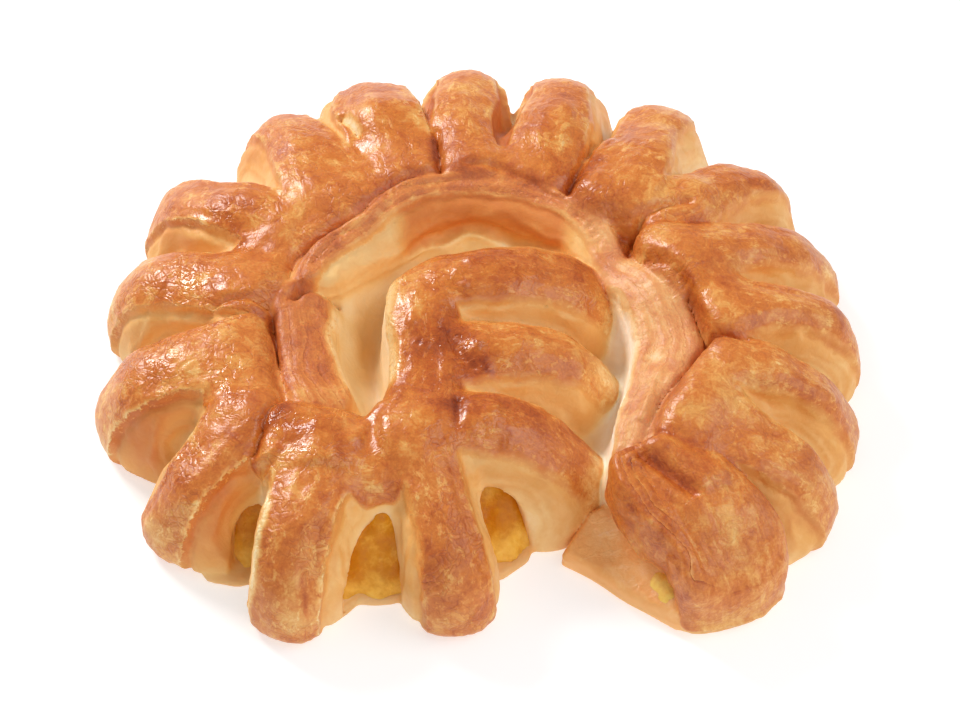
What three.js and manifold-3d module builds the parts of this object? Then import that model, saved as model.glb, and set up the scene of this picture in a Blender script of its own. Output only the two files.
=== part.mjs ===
// Chestnut danish: a folded strip of laminated dough round a ribbon of yellow
// chestnut paste. The folded edge is cut into fingers, and the strip is coiled
// flat with the fingers outward, its inner end turned into the middle.
// Millimetres, +Z up. The origin is under the middle, on the surface it rests on.
// The strip's inner end points to +X; the fingers run on clockwise from there.
import * as THREE from 'three';
import { mergeVertices } from 'three/addons/utils/BufferGeometryUtils.js';
import Module from 'manifold-3d';

// ------------------------------------------------------------ driving sizes
const BASE_SINK = 0.06;        // share of a block's height flattened where it sits on the tray
const ROUNDNESS = 3.2;         // exponent of the rounded block: 2 is an ellipsoid, large is a box
const CROWN = 1.6;             // how far a finger's top falls from its middle to its crust edge
const FLOOR_RADIUS = 37;       // thin dough that closes the bottom of the coil
const FLOOR_HEIGHT = 6;
const FLOOR_CENTRE = [-1, -7];
const PASTE_BOTTOM = 3.6;      // the paste ribbon's lower and upper face
const PASTE_TOP = 13.4;
const PASTE_HALF_WIDTH = 5.2;
const PASTE_GAP = 0.3;         // clearance of the pocket round the paste
const RIDGE_SPREAD = 3.5;      // how far a ridge widens at the bottom
const PLAN_SHIFT = [-0.09, 0.55];  // brings the middle of the plan outline over the origin
const FINGER_STEPS = [6, 4, 3];  // facets along, across and up a finger

// The fingers, in the order of the strip from the coil's inner end to its outer end.
// from/to: plan position of the fold's inner end and of the nose. bow: sideways bend.
// half: crust half-width at the inner end, middle and nose. tops: heights along the finger.
// spread: how far the cut sides flare out at the bottom, left and right of the finger.
const FINGERS = [
  { from: [-12.0,  -2.0], to: [ 25.4,   2.2], bow:  1.0, half: [ 7.0, 6.4, 6.4], tops: [24.5, 26.2, 24.0, 18.0], spread: [3.5, 4.5] },
  { from: [ -9.0, -18.0], to: [ 25.0, -15.2], bow:  0.8, half: [ 6.5, 5.8, 5.8], tops: [24.0, 24.8, 22.0, 15.5], spread: [4.0, 4.5] },
  { from: [ -7.0, -32.5], to: [ 22.6, -36.2], bow:  1.0, half: [ 6.5, 6.2, 6.0], tops: [23.5, 23.8, 20.0, 13.5], spread: [4.0, 4.5] },
  { from: [-11.4, -29.0], to: [ -3.1, -64.2], bow: -0.4, half: [ 7.5, 6.0, 6.8], tops: [23.5, 24.0, 20.5, 14.0], spread: [4.5, 4.5] },
  { from: [-27.0, -29.0], to: [-33.4, -66.2], bow:  1.0, half: [ 8.0, 6.4, 6.2], tops: [23.0, 23.8, 20.5, 14.0], spread: [4.5, 3.5] },
  { from: [-36.5, -25.0], to: [-56.2, -46.9], bow:  2.2, half: [ 7.5, 6.6, 6.4], tops: [22.5, 23.0, 20.0, 13.5], spread: [6.5, 4.5] },
  { from: [-37.6, -14.0], to: [-69.6, -18.2], bow:  1.2, half: [ 8.5, 6.8, 6.4], tops: [22.5, 23.2, 20.0, 13.5], spread: [7.0, 4.0] },
  { from: [-36.0,  -1.0], to: [-68.6,   6.8], bow:  0.6, half: [ 7.0, 6.4, 6.4], tops: [22.0, 22.5, 19.5, 13.0], spread: [5.5, 4.0] },
  { from: [-32.5,  12.5], to: [-62.6,  29.0], bow:  0.8, half: [ 7.5, 6.4, 6.2], tops: [22.0, 22.5, 19.5, 13.5], spread: [5.5, 4.0] },
  { from: [-24.5,  19.0], to: [-41.2,  50.3], bow:  1.5, half: [ 8.0, 7.4, 6.6], tops: [22.0, 23.2, 20.5, 14.5], spread: [5.0, 4.0] },
  { from: [-13.8,  23.6], to: [-21.9,  61.2], bow:  0.8, half: [ 8.0, 7.6, 6.6], tops: [22.0, 23.2, 20.5, 14.5], spread: [4.5, 4.0] },
  { from: [ -3.7,  26.6], to: [ -2.0,  65.4], bow:  0.0, half: [ 8.0, 6.8, 6.0], tops: [22.0, 22.8, 20.0, 14.5], spread: [4.0, 4.0] },
  { from: [ 12.0,  24.5], to: [ 17.2,  63.6], bow:  0.0, half: [ 8.0, 6.8, 6.0], tops: [22.0, 22.8, 20.0, 14.5], spread: [4.0, 4.0] },
  { from: [ 22.5,  16.5], to: [ 37.2,  55.0], bow: -1.0, half: [ 8.5, 7.6, 6.8], tops: [23.0, 24.0, 21.0, 14.5], spread: [4.0, 4.5] },
  { from: [ 31.1,  14.5], to: [ 57.4,  34.8], bow: -1.0, half: [ 7.5, 6.6, 6.0], tops: [22.5, 23.0, 20.0, 14.0], spread: [4.0, 4.5] },
  { from: [ 33.0,   5.5], to: [ 66.6,  15.0], bow: -1.5, half: [ 8.0, 6.8, 6.0], tops: [24.0, 24.5, 20.5, 14.0], spread: [4.0, 4.5] },
  { from: [ 40.0,  -6.0], to: [ 69.9,  -4.0], bow: -1.0, half: [ 8.0, 6.6, 6.0], tops: [23.5, 24.0, 20.5, 14.0], spread: [4.0, 4.5] },
  { from: [ 40.0, -16.5], to: [ 68.4, -23.0], bow: -1.5, half: [ 7.5, 6.2, 5.6], tops: [23.0, 23.5, 20.0, 13.5], spread: [4.0, 5.0] },
  { from: [ 34.5, -26.0], to: [ 62.4, -41.8], bow: -2.0, half: [ 8.5, 7.2, 6.4], tops: [23.5, 23.8, 20.0, 13.5], spread: [4.0, 5.0] },
  { from: [ 33.0, -40.0], to: [ 44.6, -63.6], bow: -1.0, half: [10.0, 9.6, 8.8], tops: [23.0, 23.6, 19.5, 13.5], spread: [3.0, 0.0] },
  // the strip's outer end: the under sheet sticks out below the last finger
  { from: [ 20.5, -43.0], to: [ 36.5, -63.2], bow:  1.2, half: [ 5.0, 5.5, 5.0], tops: [11.0, 10.5,  9.0,  6.5], spread: [3.0, 1.5] },
];

// Ridges of crust that join the fingers, and the lips of the strip's inner edge.
// Each stop is x, y, top height, half-width.
const RIDGES = [
  { steps: 12, stops: [[-10.0, -1.5, 25.0, 5.5], [-9.8, -15.0, 24.8, 5.8], [-10.5, -28.0, 24.3, 6.0], [-15.0, -37.0, 23.3, 7.0], [-25.0, -39.0, 22.8, 7.0], [-33.0, -35.5, 22.6, 6.0]] },
  { steps: 18, stops: [[-39.5, -30.0, 20.5, 5.0], [-43.0, -16.0, 20.8, 5.5], [-43.0, 0.0, 20.2, 5.5], [-39.0, 9.0, 20.4, 5.5], [-29.5, 19.0, 20.6, 6.0], [-17.0, 28.0, 20.8, 6.0],
                       [-4.0, 31.0, 20.4, 5.5], [10.0, 29.5, 20.2, 5.5], [22.5, 23.5, 21.2, 6.0], [33.0, 18.0, 21.2, 6.0], [40.0, 4.0, 21.6, 5.5], [44.5, -7.0, 21.4, 5.0], [43.0, -18.0, 21.2, 5.0], [39.0, -30.0, 21.6, 5.5], [36.0, -37.0, 21.4, 5.5]] },
  { steps: 9, stops: [[-32.6, -0.2, 20.0, 3.2], [-29.5, 6.1, 21.0, 3.8], [-15.7, 19.4, 21.0, 4.0], [1.9, 23.9, 21.0, 3.8], [18.4, 15.2, 20.5, 3.6], [22.8, 8.5, 19.5, 3.0]] },
  { steps: 8, stops: [[-27.0, -18.0, 11.0, 3.5], [-24.7, 4.6, 15.0, 3.5], [-11.1, 18.0, 15.0, 3.5], [0.0, 19.5, 15.0, 3.5], [19.5, 11.5, 14.5, 3.2]] },
  { steps: 5, stops: [[-32.6, -3.4, 20.0, 4.2], [-31.0, -14.0, 20.5, 5.0], [-28.7, -24.5, 20.0, 4.0]] },
  { steps: 7, stops: [[22.4, 9.4, 18.5, 3.0], [33.3, -6.9, 20.5, 5.6], [33.7, -14.0, 20.5, 5.6], [27.3, -32.4, 20.5, 4.2], [23.6, -39.6, 20.0, 3.0]] },
];

// The paste ribbon follows the roots of the cuts between the fingers.
const PASTE_PATH = [
  [-2.0, -6.0], [-2.5, -22.0], [-7.5, -37.0], [-19.0, -46.5], [-38.5, -37.5], [-46.5, -24.5], [-47.2, -5.0], [-43.2, 10.5], [-32.0, 25.5],
  [-22.5, 36.0], [-8.5, 39.0], [7.5, 39.5], [20.5, 36.0], [34.0, 28.0], [46.0, 16.5], [48.5, 1.0], [50.0, -11.5], [48.0, -23.5], [42.5, -40.0],
];
const PASTE_STEPS = 28;
// Where the cuts open, the paste swells out between two fingers: x, y, z and the three half-sizes.
const PASTE_SWELLS = [
  { at: [-18.6, -51.0, 8.4], size: [5.2, 4.6, 4.6] },
  { at: [-0.5, -41.5, 8.4], size: [5.6, 5.2, 4.6] },
  { at: [-40.6, -42.0, 8.4], size: [4.4, 4.8, 4.6] },
];
// The cuts are opened in front of the paste by an arch: inner and outer plan ends, half-width, top height.
const ARCHES = [
  { from: [-18.7, -47.0], to: [-18.4, -64.0], half: 5.0, top: 15.0 },
  { from: [0.0, -40.5], to: [9.5, -55.0], half: 4.2, top: 14.0 },
  { from: [-40.5, -42.5], to: [-44.0, -55.0], half: 2.6, top: 13.5 },
];

// ------------------------------------------------------------ solids
const wasm = await Module();
wasm.setup();

const clamp = THREE.MathUtils.clamp;

function solid(geometry) {
  const g = geometry.clone();
  for (const name of Object.keys(g.attributes)) if (name !== 'position') g.deleteAttribute(name);
  const m = mergeVertices(g, 1e-5);
  return new wasm.Manifold(new wasm.Mesh({
    numProp: 3,
    vertProperties: new Float32Array(m.attributes.position.array),
    triVerts: new Uint32Array(m.index.array),
  }));
}

function geometryOf(manifold) {
  const mesh = manifold.getMesh();
  const g = new THREE.BufferGeometry();
  g.setAttribute('position', new THREE.BufferAttribute(new Float32Array(mesh.vertProperties), 3));
  g.setIndex(new THREE.BufferAttribute(new Uint32Array(mesh.triVerts), 1));
  g.computeVertexNormals();
  return g;
}

// A block of unit half-sizes whose every vertex is moved by shape(x, y, z).
function block(nx, ny, nz, shape) {
  const g = new THREE.BoxGeometry(2, 2, 2, nx, ny, nz);
  const p = g.attributes.position;
  for (let i = 0; i < p.count; i++) p.setXYZ(i, ...shape(p.getX(i), p.getY(i), p.getZ(i)));
  return solid(g);
}

// Rounds a point of the cube's surface; `axes` says which directions take part.
function rounded(p, axes) {
  const sum = p.reduce((s, v, i) => s + (axes[i] ? Math.pow(Math.abs(v), ROUNDNESS) : 0), 0);
  const m = Math.max(...p.map((v, i) => (axes[i] ? Math.abs(v) : 0)));
  const k = sum > 0 ? m / Math.pow(sum, 1 / ROUNDNESS) : 1;
  return p.map((v, i) => (axes[i] ? v * k : v));
}

// Height share of a rounded block, flattened at the bottom.
const lift = (z) => clamp((z + 1 - 2 * BASE_SINK) / (2 - 2 * BASE_SINK), 0, 1);

const through3 = (t, [a, b, c]) => a * (1 - t) * (1 - 2 * t) + b * 4 * t * (1 - t) + c * t * (2 * t - 1);

function through4(t, [a, b, c, d]) {
  const u = 3 * t;
  return (a * (1 - u) * (2 - u) * (3 - u)) / 6 + (b * u * (2 - u) * (3 - u)) / 2 + (c * u * (u - 1) * (3 - u)) / 2 + (d * u * (u - 1) * (u - 2)) / 6;
}

// One finger: a rounded block laid from its inner end to its nose, wider at the bottom.
function finger({ from, to, bow, half, tops, spread }) {
  const dx = to[0] - from[0], dy = to[1] - from[1];
  const length = Math.hypot(dx, dy), ux = dx / length, uy = dy / length;
  return block(...FINGER_STEPS, (x, y, z) => {
    const [rx, ry, rz] = rounded([x, y, z], [x > 0, 1, 1]);   // only the nose end is rounded off
    const t = (rx + 1) / 2, s = lift(rz);
    const flare = (ry > 0 ? spread[0] : spread[1]) * (1 - s * s);
    const b = ry * (through3(t, half) + flare) + bow * 4 * t * (1 - t);
    const a = t * length;
    return [from[0] + a * ux - b * uy, from[1] + a * uy + b * ux, s * (through4(t, tops) - CROWN * ry * ry)];
  });
}

// A ridge: a rounded bar swept along a smooth curve through its stops, from `bottom` to each stop's top.
function ridge({ steps, stops }, { bottom = 0, grow = 0, across = 3, up = 2 } = {}) {
  const curve = new THREE.CatmullRomCurve3(stops.map((s) => new THREE.Vector3(s[0], s[1], 0)));
  const at = (t, k) => {
    const u = t * (stops.length - 1), i = Math.min(Math.floor(u), stops.length - 2);
    return stops[i][k] + (stops[i + 1][k] - stops[i][k]) * (u - i);
  };
  return block(steps, across, up, (x, y, z) => {
    const [, ry, rz] = rounded([x, y, z], [0, 1, 1]);
    const t = (x + 1) / 2;
    const p = curve.getPoint(t), d = curve.getTangent(t);
    const end = (t <= 0 ? -grow : t >= 1 ? grow : 0);
    const s = bottom > 0 ? (rz + 1) / 2 : lift(rz);
    const b = ry * (at(t, 3) + grow + (bottom > 0 ? 0 : RIDGE_SPREAD * (1 - s * s)));
    const low = bottom - (bottom > 0 ? grow : 0), high = at(t, 2) + grow;
    return [p.x - b * d.y + end * d.x, p.y + b * d.x + end * d.y, low + s * (high - low)];
  });
}

function swell({ at, size }, grow = 0) {
  const g = new THREE.SphereGeometry(1, 10, 6);
  g.rotateX(Math.PI / 2);
  g.scale(size[0] + grow, size[1] + grow, size[2] + grow);
  g.translate(...at);
  return solid(g);
}

function arch({ from, to, half, top }) {
  const dx = to[0] - from[0], dy = to[1] - from[1];
  const length = Math.hypot(dx, dy), ux = dx / length, uy = dy / length;
  return block(4, 4, 4, (x, y, z) => {
    const [, ry, rz] = rounded([x, y, z], [0, 1, 1]);
    const a = ((x + 1) / 2) * length, b = ry * half * (1 + 0.35 * (x + 1) / 2);
    const low = 2.0, s = (rz + 1) / 2;
    return [from[0] + a * ux - b * uy, from[1] + a * uy + b * ux, low + s * (top - low)];
  });
}

const join = (solids) => solids.reduce((a, b) => a.add(b));

// The paste: one ribbon through the strip, with its swells.
const pasteStops = PASTE_PATH.map(([x, y]) => [x, y, PASTE_TOP, PASTE_HALF_WIDTH]);
const paste = (grow) => join([
  ridge({ steps: PASTE_STEPS, stops: pasteStops }, { bottom: PASTE_BOTTOM, grow, across: 2, up: 2 }),
  ...PASTE_SWELLS.map((s) => swell(s, grow)),
]);
const filling = paste(0);

// The dough: fingers, ridges, lips and the floor, less the arches and the paste's pocket.
const floor = new THREE.CylinderGeometry(FLOOR_RADIUS, FLOOR_RADIUS, FLOOR_HEIGHT, 22);
floor.rotateX(Math.PI / 2);
floor.translate(FLOOR_CENTRE[0], FLOOR_CENTRE[1], FLOOR_HEIGHT / 2);
let dough = join([...FINGERS.map(finger), ...RIDGES.map((r) => ridge(r)), solid(floor)]);
dough = ARCHES.map(arch).reduce((d, a) => d.subtract(a), dough);
dough = dough.subtract(paste(PASTE_GAP));

// ------------------------------------------------------------ scene graph
function mesh(name, manifold, material) {
  const m = new THREE.Mesh(geometryOf(manifold), material);
  m.name = name;
  return m;
}

const danish = new THREE.Group();
danish.name = 'chestnut_danish';
danish.add(mesh('dough', dough, new THREE.MeshStandardMaterial({ color: 0xc98444, roughness: 0.45, metalness: 0 })));
danish.add(mesh('filling', filling, new THREE.MeshStandardMaterial({ color: 0xdcae3c, roughness: 0.5, metalness: 0 })));

danish.position.set(PLAN_SHIFT[0], PLAN_SHIFT[1], 0);

export default danish;
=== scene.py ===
"""Chestnut danish: looks. A coil of folded, layered dough whose edge is cut into fingers,
egg-washed and baked, with yellow chestnut paste showing in the cuts.

The dough and the paste are each one closed skin over a signed field, worked out from the
same finger table as the solids. Shape is in millimetres here, and metres in the scene."""
import math

import bpy
import numpy as np
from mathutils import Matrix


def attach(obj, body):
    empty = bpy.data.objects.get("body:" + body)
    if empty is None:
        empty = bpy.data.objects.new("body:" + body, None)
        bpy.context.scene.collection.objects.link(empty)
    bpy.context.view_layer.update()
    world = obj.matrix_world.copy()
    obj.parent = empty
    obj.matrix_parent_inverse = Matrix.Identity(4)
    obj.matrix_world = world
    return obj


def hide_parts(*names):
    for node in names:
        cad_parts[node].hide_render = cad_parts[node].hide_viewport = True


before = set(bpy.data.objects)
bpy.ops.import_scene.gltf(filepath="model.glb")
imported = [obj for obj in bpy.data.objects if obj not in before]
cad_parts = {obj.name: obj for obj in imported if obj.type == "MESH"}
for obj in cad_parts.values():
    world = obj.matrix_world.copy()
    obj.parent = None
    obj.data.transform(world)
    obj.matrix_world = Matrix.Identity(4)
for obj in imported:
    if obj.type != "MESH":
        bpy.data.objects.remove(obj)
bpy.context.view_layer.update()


# ================================================================ field helpers
def rmax(a, b, r):
    """Intersection of two fields with a rounded edge of radius r."""
    return np.minimum(np.maximum(a, b), -r) + np.sqrt(np.maximum(a + r, 0) ** 2 + np.maximum(b + r, 0) ** 2)

def smin(a, b, k):
    h = np.maximum(k - np.abs(a - b), 0) / k
    return np.minimum(a, b) - h * h * k * 0.25

def smooth(x, lo, hi):
    t = np.clip((x - lo) / (hi - lo), 0, 1)
    return t * t * (3 - 2 * t)

def through3(t, p0, p1, p2):
    return p0 * (1 - t) * (1 - 2 * t) + p1 * 4 * t * (1 - t) + p2 * t * (2 * t - 1)

def cubic4(t, p):
    a0, a1, a2, a3 = p
    c1 = -5.5 * a0 + 9 * a1 - 4.5 * a2 + a3
    c2 = 9 * a0 - 22.5 * a1 + 18 * a2 - 4.5 * a3
    c3 = -4.5 * a0 + 13.5 * a1 - 13.5 * a2 + 4.5 * a3
    return a0 + t * (c1 + t * (c2 + t * c3)), c1 + t * (2 * c2 + 3 * t * c3)

# ================================================================ noise
def hash3(i, j, k, seed):
    n = (i * 374761393 + j * 668265263 + k * 1274126177 + seed * 974634777) & 0xffffffff
    n = ((n ^ (n >> 13)) * 1274126177) & 0xffffffff
    n = ((n ^ (n >> 16)) * 2246822519) & 0xffffffff
    return (n ^ (n >> 15)) & 0xffffffff

GRADS = np.array([(1,1,0),(-1,1,0),(1,-1,0),(-1,-1,0),(1,0,1),(-1,0,1),(1,0,-1),(-1,0,-1),(0,1,1),(0,-1,1),(0,1,-1),(0,-1,-1)], float)
def noise(x, y, z, seed=0):
    """Gradient noise, about -1 to 1, one bump to a unit."""
    xi, yi, zi = (np.floor(v).astype(np.int64) for v in (x, y, z))
    fx, fy, fz = x - xi, y - yi, z - zi
    ux, uy, uz = (f * f * f * (f * (f * 6 - 15) + 10) for f in (fx, fy, fz))
    out = 0
    for i in (0, 1):
        for j in (0, 1):
            for k in (0, 1):
                g = GRADS[hash3(xi + i, yi + j, zi + k, seed) % 12]
                d = g[..., 0] * (fx - i) + g[..., 1] * (fy - j) + g[..., 2] * (fz - k)
                out = out + d * (ux if i else 1 - ux) * (uy if j else 1 - uy) * (uz if k else 1 - uz)
    return out

def fbm(P, scale, octaves=3, seed=0, stretch=(1, 1, 1)):
    """Summed noise at points P (n, 3); scale is the size of the largest bump in mm."""
    out, amp, f = 0, 1.0, 1.0 / scale
    for o in range(octaves):
        out = out + amp * noise(P[:, 0] * f * stretch[0], P[:, 1] * f * stretch[1], P[:, 2] * f * stretch[2], seed + 17 * o)
        amp *= 0.5; f *= 2.03
    return out

WAVES = []
for _i in range(14):
    _r = np.random.default_rng(100 + _i)
    _lam = 26.0 - 1.35 * _i
    _d = _r.normal(size=3) * (1, 1, 0.5); _d /= np.linalg.norm(_d)
    WAVES.append((2 * np.pi / _lam * _d, _r.uniform(0, 6.28, 3), _r.normal(size=3) * 0.030 * _lam))
WARP = 0.28

def warp(X, Y, Z):
    """Hand-made irregularity: a slow drift of the whole shape; heights stay put at the base."""
    dx = dy = dz = 0
    for k, ph, am in WAVES:
        q = k[0] * X + k[1] * Y + k[2] * Z
        dx = dx + am[0] * np.sin(q + ph[0]); dy = dy + am[1] * np.sin(q + ph[1]); dz = dz + am[2] * np.sin(q + ph[2])
    return X + WARP * dx, Y + WARP * dy, Z + 0.9 * WARP * dz * np.clip(Z / 8.0, 0, 1)

# ================================================================ fingers
# inner end, nose, bow, crust half-width (inner, middle, nose), top heights (4), roll, flare left and right, group,
# share of the half-width that keeps its crust on the left and right (the rest is cut face)
FINGERS = {
 'A': ((-12.0, -2.0), (25.4,  2.2), 1.0, (7.0, 6.4, 6.4), (24.5, 26.2, 24.0, 18.0), 0.04, 3.5, 4.5, 0, 1, 0.95),
 'B': (( -9.0,-18.0), (25.0,-15.2), 0.8, (6.5, 5.8, 5.8), (24.0, 24.8, 22.0, 15.5), 0.04, 4.0, 4.5, 0, 1, 0.9),
 'C': (( -7.0,-32.5), (22.6,-36.2), 1.0, (6.5, 6.2, 6.0), (23.5, 23.8, 20.0, 13.5), 0.08, 4.0, 4.5, 0, 1, 0.9),
 'D': ((-11.4,-29.0), ( -2.6,-63.9),-0.4, (7.5, 6.0, 6.8), (23.5, 24.0, 20.5, 14.0),-0.02, 4.0, 3.5, 0, 0.9, 0.88),
 'E': ((-27.0,-29.0), (-34.4,-65.5), 1.0, (8.0, 6.6, 6.8), (23.0, 23.8, 20.5, 14.0), 0.02, 4.0, 1.5, 0, 0.9, 1),
 'F': ((-36.5,-25.0), (-56.6,-46.5), 2.2, (7.5, 6.8, 6.6), (22.5, 23.0, 20.0, 13.5), 0.03, 6.0, 4.5, 2, 0.6, 1),
 'G': ((-37.6,-14.0), (-68.6,-18.0), 1.2, (8.5, 6.8, 6.4), (22.5, 23.2, 20.0, 13.5), 0.02, 7.0, 4.0, 2, 0.95, 1),
 'H': ((-36.0, -0.5), (-68.4,  7.6), 0.6, (7.0, 6.4, 6.4), (22.0, 22.5, 19.5, 13.0), 0.02, 5.5, 4.0, 3, 0.9, 1),
 'I': ((-32.5, 13.0), (-61.8, 30.0), 0.4, (7.5, 6.4, 6.2), (22.0, 22.5, 19.5, 13.5), 0.00, 5.5, 4.0, 3, 0.85, 1),
 'J': ((-24.5, 19.0), (-40.4, 51.0), 1.2, (8.0, 7.4, 6.6), (22.0, 23.2, 20.5, 14.5), 0.00, 5.0, 4.0, 3, 0.7, 1),
 'K': ((-13.8, 23.6), (-22.2, 61.6), 0.8, (8.0, 7.4, 6.4), (22.0, 23.2, 20.5, 14.5), 0.00, 4.5, 3.5, 3, 1, 1),
 'L': (( -3.7, 26.6), ( -2.4, 64.8), 0.0, (8.0, 6.8, 6.0), (22.0, 22.8, 20.0, 14.5), 0.00, 4.0, 3.5, 4, 0.8, 0.8),
 'M': (( 12.0, 24.5), ( 17.6, 63.0), 0.0, (8.0, 6.8, 6.0), (22.0, 22.8, 20.0, 14.5), 0.00, 3.5, 4.0, 4, 1, 0.75),
 'N': (( 22.5, 16.5), ( 37.6, 53.9),-1.0, (8.5, 7.6, 6.8), (23.0, 24.0, 21.0, 14.5),-0.16, 3.5, 4.5, 5, 1, 0.6),
 'O': (( 31.1, 14.5), ( 56.9, 35.4),-1.0, (7.5, 6.6, 6.0), (22.5, 23.0, 20.0, 14.0), 0.00, 4.0, 4.5, 5, 1, 0.6),
 'P': (( 33.0,  5.5), ( 66.2, 15.6),-1.5, (8.0, 6.8, 6.0), (24.0, 24.5, 20.5, 14.0), 0.03, 4.0, 4.0, 6, 1, 0.5),
 'Q': (( 40.0, -6.0), ( 69.7, -4.0),-1.0, (8.0, 6.6, 6.0), (23.5, 24.0, 20.5, 14.0), 0.00, 3.5, 4.5, 6, 1, 0.5),
 'R': (( 40.0,-16.5), ( 68.8,-23.2),-1.5, (7.5, 6.2, 5.6), (23.0, 23.5, 20.0, 13.5), 0.00, 4.0, 5.0, 7, 1, 0.5),
 'S': (( 34.5,-26.0), ( 62.2,-42.0),-2.0, (8.5, 7.2, 6.4), (23.5, 23.8, 20.0, 13.5), 0.00, 4.0, 5.0, 7, 1, 0.5),
}
R_TOP, R_BOT, R_IN, R_EDGE, CROWN, NOSE = 7.5, 3.0, 4.0, 1.0, 1.9, 5.0
SOFT_JOIN, CRISP_JOIN = 3.0, 0.6

def finger(p, X, Y, Z):
    """Field of one finger, with: depth under its skin, distance past its crust edge, share of its length, along, across."""
    (x0, y0), (x1, y1), bow = p[0], p[1], p[2]
    L = np.hypot(x1 - x0, y1 - y0)
    ux, uy = (x1 - x0) / L, (y1 - y0) / L
    a = (X - x0) * ux + (Y - y0) * uy
    b = -(X - x0) * uy + (Y - y0) * ux
    t = np.clip(a / L, -0.25, 1.15)
    b = b - bow * 4 * t * (1 - t)
    w = through3(t, *p[3])
    H, S = cubic4(t, p[4])
    roll, fl, fr = p[5], p[6], p[7]
    r_top = min(R_TOP, 0.5 * p[4][3] + 0.4)
    lost = w * np.where(b > 0, 1 - p[9], 1 - p[10]) * smooth(t, 0.05, 0.55)     # crust lost to the cut face
    side = w - lost
    top = (Z - H - roll * b + CROWN * np.clip(b / side, -1.6, 1.6) ** 2) / np.sqrt(1 + (S / L) ** 2 + roll * roll)
    round_ = NOSE + 4.0 * smooth(-y1, 58.0, 63.0)     # the two at the front have the roundest noses
    nose = (a - L + round_ * np.clip(np.abs(b) / (w + 3.0), 0, 1.5) ** 2.4) * 0.85
    skin = rmax(rmax(top, nose, r_top), -a, R_IN)
    m = rmax(skin, -Z, R_BOT)
    zz = np.clip(Z / np.maximum(H, 1), 0, 1)
    steep = np.clip(2 * lost / w, 0, 1)
    flare = (np.where(b > 0, fl, fr) + lost) * ((1 - zz * zz) * (1 - steep) + (1 - zz) ** 1.2 * steep) * (0.55 + 0.45 * smooth(L - a, 0, 9))
    d = rmax(m, np.abs(b) - side - flare, R_EDGE)
    return d, -skin, np.abs(b) - side, a / L, a, b

# the free end of the strip, laid over the flap: outline in plan (counter-clockwise, its first four edges overhang), the two ends of its axis, heights along it
STRIP = ([(22.2,-39.8), (22.7,-45.1), (24.1,-48.2), (26.6,-51.6), (36.6,-63.2), (41.0,-63.8), (46.1,-62.4), (49.2,-60.4), (51.8,-57.9), (53.3,-54.8), (53.6,-51.0), (49.6,-44.0), (44.0,-38.6), (37.0,-34.6), (29.6,-35.6)],
         (29.0,-36.0), (44.5,-63.5), (22.8, 22.4, 18.8, 12.2))
def strip_end(X, Y, Z):
    """Field of the strip's free end, with: depth under its skin, distance past its outline, share of its length, along, across."""
    poly, (x0, y0), (x1, y1), heights = STRIP
    L = np.hypot(x1 - x0, y1 - y0)
    ux, uy = (x1 - x0) / L, (y1 - y0) / L
    a = (X - x0) * ux + (Y - y0) * uy
    b = -(X - x0) * uy + (Y - y0) * ux
    t = np.clip(a / L, -0.2, 1.1)
    # on the flap's side it hangs over, less and less toward the nose
    hang = 0.60 * np.clip(12.0 - Z, 0, 9) * (1 - smooth(t, 0.50, 0.86))
    e = None
    for i, ((ax, ay), (bx, by)) in enumerate(zip(poly, poly[1:] + poly[:1])):
        d = ((X - ax) * (by - ay) - (Y - ay) * (bx - ax)) / np.hypot(bx - ax, by - ay)
        if i < 4:
            d = d + hang
        e = d if e is None else rmax(e, d, 1.6)
    e = rmax(e, 8.2 - 1.2 * smooth(t, 0.70, 0.95) - np.hypot(X - 27.5, Y + 62.2) + hang, 1.2)
    H, S = cubic4(t, heights)
    top = (Z - H + 1.4 * np.clip(np.abs(b) / 12, 0, 1.4) ** 2) / np.sqrt(1 + (S / L) ** 2)
    skin = rmax(top, e, 3.0 + 2.6 * smooth(t, 0.72, 1.0) - 1.6 * smooth(-b, 4.0, 9.0) * (1 - smooth(t, 0.6, 0.95)))
    return rmax(skin, -Z, 1.6), -skin, e, a / L, a, b

# ================================================================ ridges and lips swept along a curve
# x, y, top height, half-width
SPINES = {
 0: [(-10.0, -1.5, 25.3, 5.5), (-9.8,-15.0, 25.0, 5.8), (-10.5,-28.0, 24.5, 6.0), (-15.0,-37.0, 23.5, 7.5), (-25.0,-39.0, 23.0, 8.0), (-33.0,-35.5, 23.0, 7.0)],
 2: [(-43.6,-15.5, 22.5, 5.5), (-41.5,-25.0, 22.5, 5.5), (-39.5,-30.0, 22.5, 5.0)],
 3: [(-43.0, 0.0, 21.8, 5.0), (-39.0, 9.0, 22.0, 5.5), (-29.5, 19.0, 22.3, 6.0), (-18.5, 27.5, 22.5, 6.0), (-13.0, 31.0, 22.5, 5.5)],
 4: [(-3.7, 30.5, 22.2, 5.0), (5.6, 29.5, 21.8, 4.5), (13.0, 28.0, 22.0, 5.0)],
 5: [(22.5, 21.5, 23.5, 5.5), (29.5, 21.0, 22.8, 5.5), (38.0, 21.5, 22.5, 5.0)],
 6: [(34.0, 9.5, 24.0, 4.5), (40.5, 2.5, 23.8, 4.5), (44.5,-7.0, 23.5, 4.5)],
 7: [(43.0,-18.0, 23.0, 4.5), (40.0,-27.0, 23.5, 5.0), (36.5,-34.0, 23.5, 5.0)],
}
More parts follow.
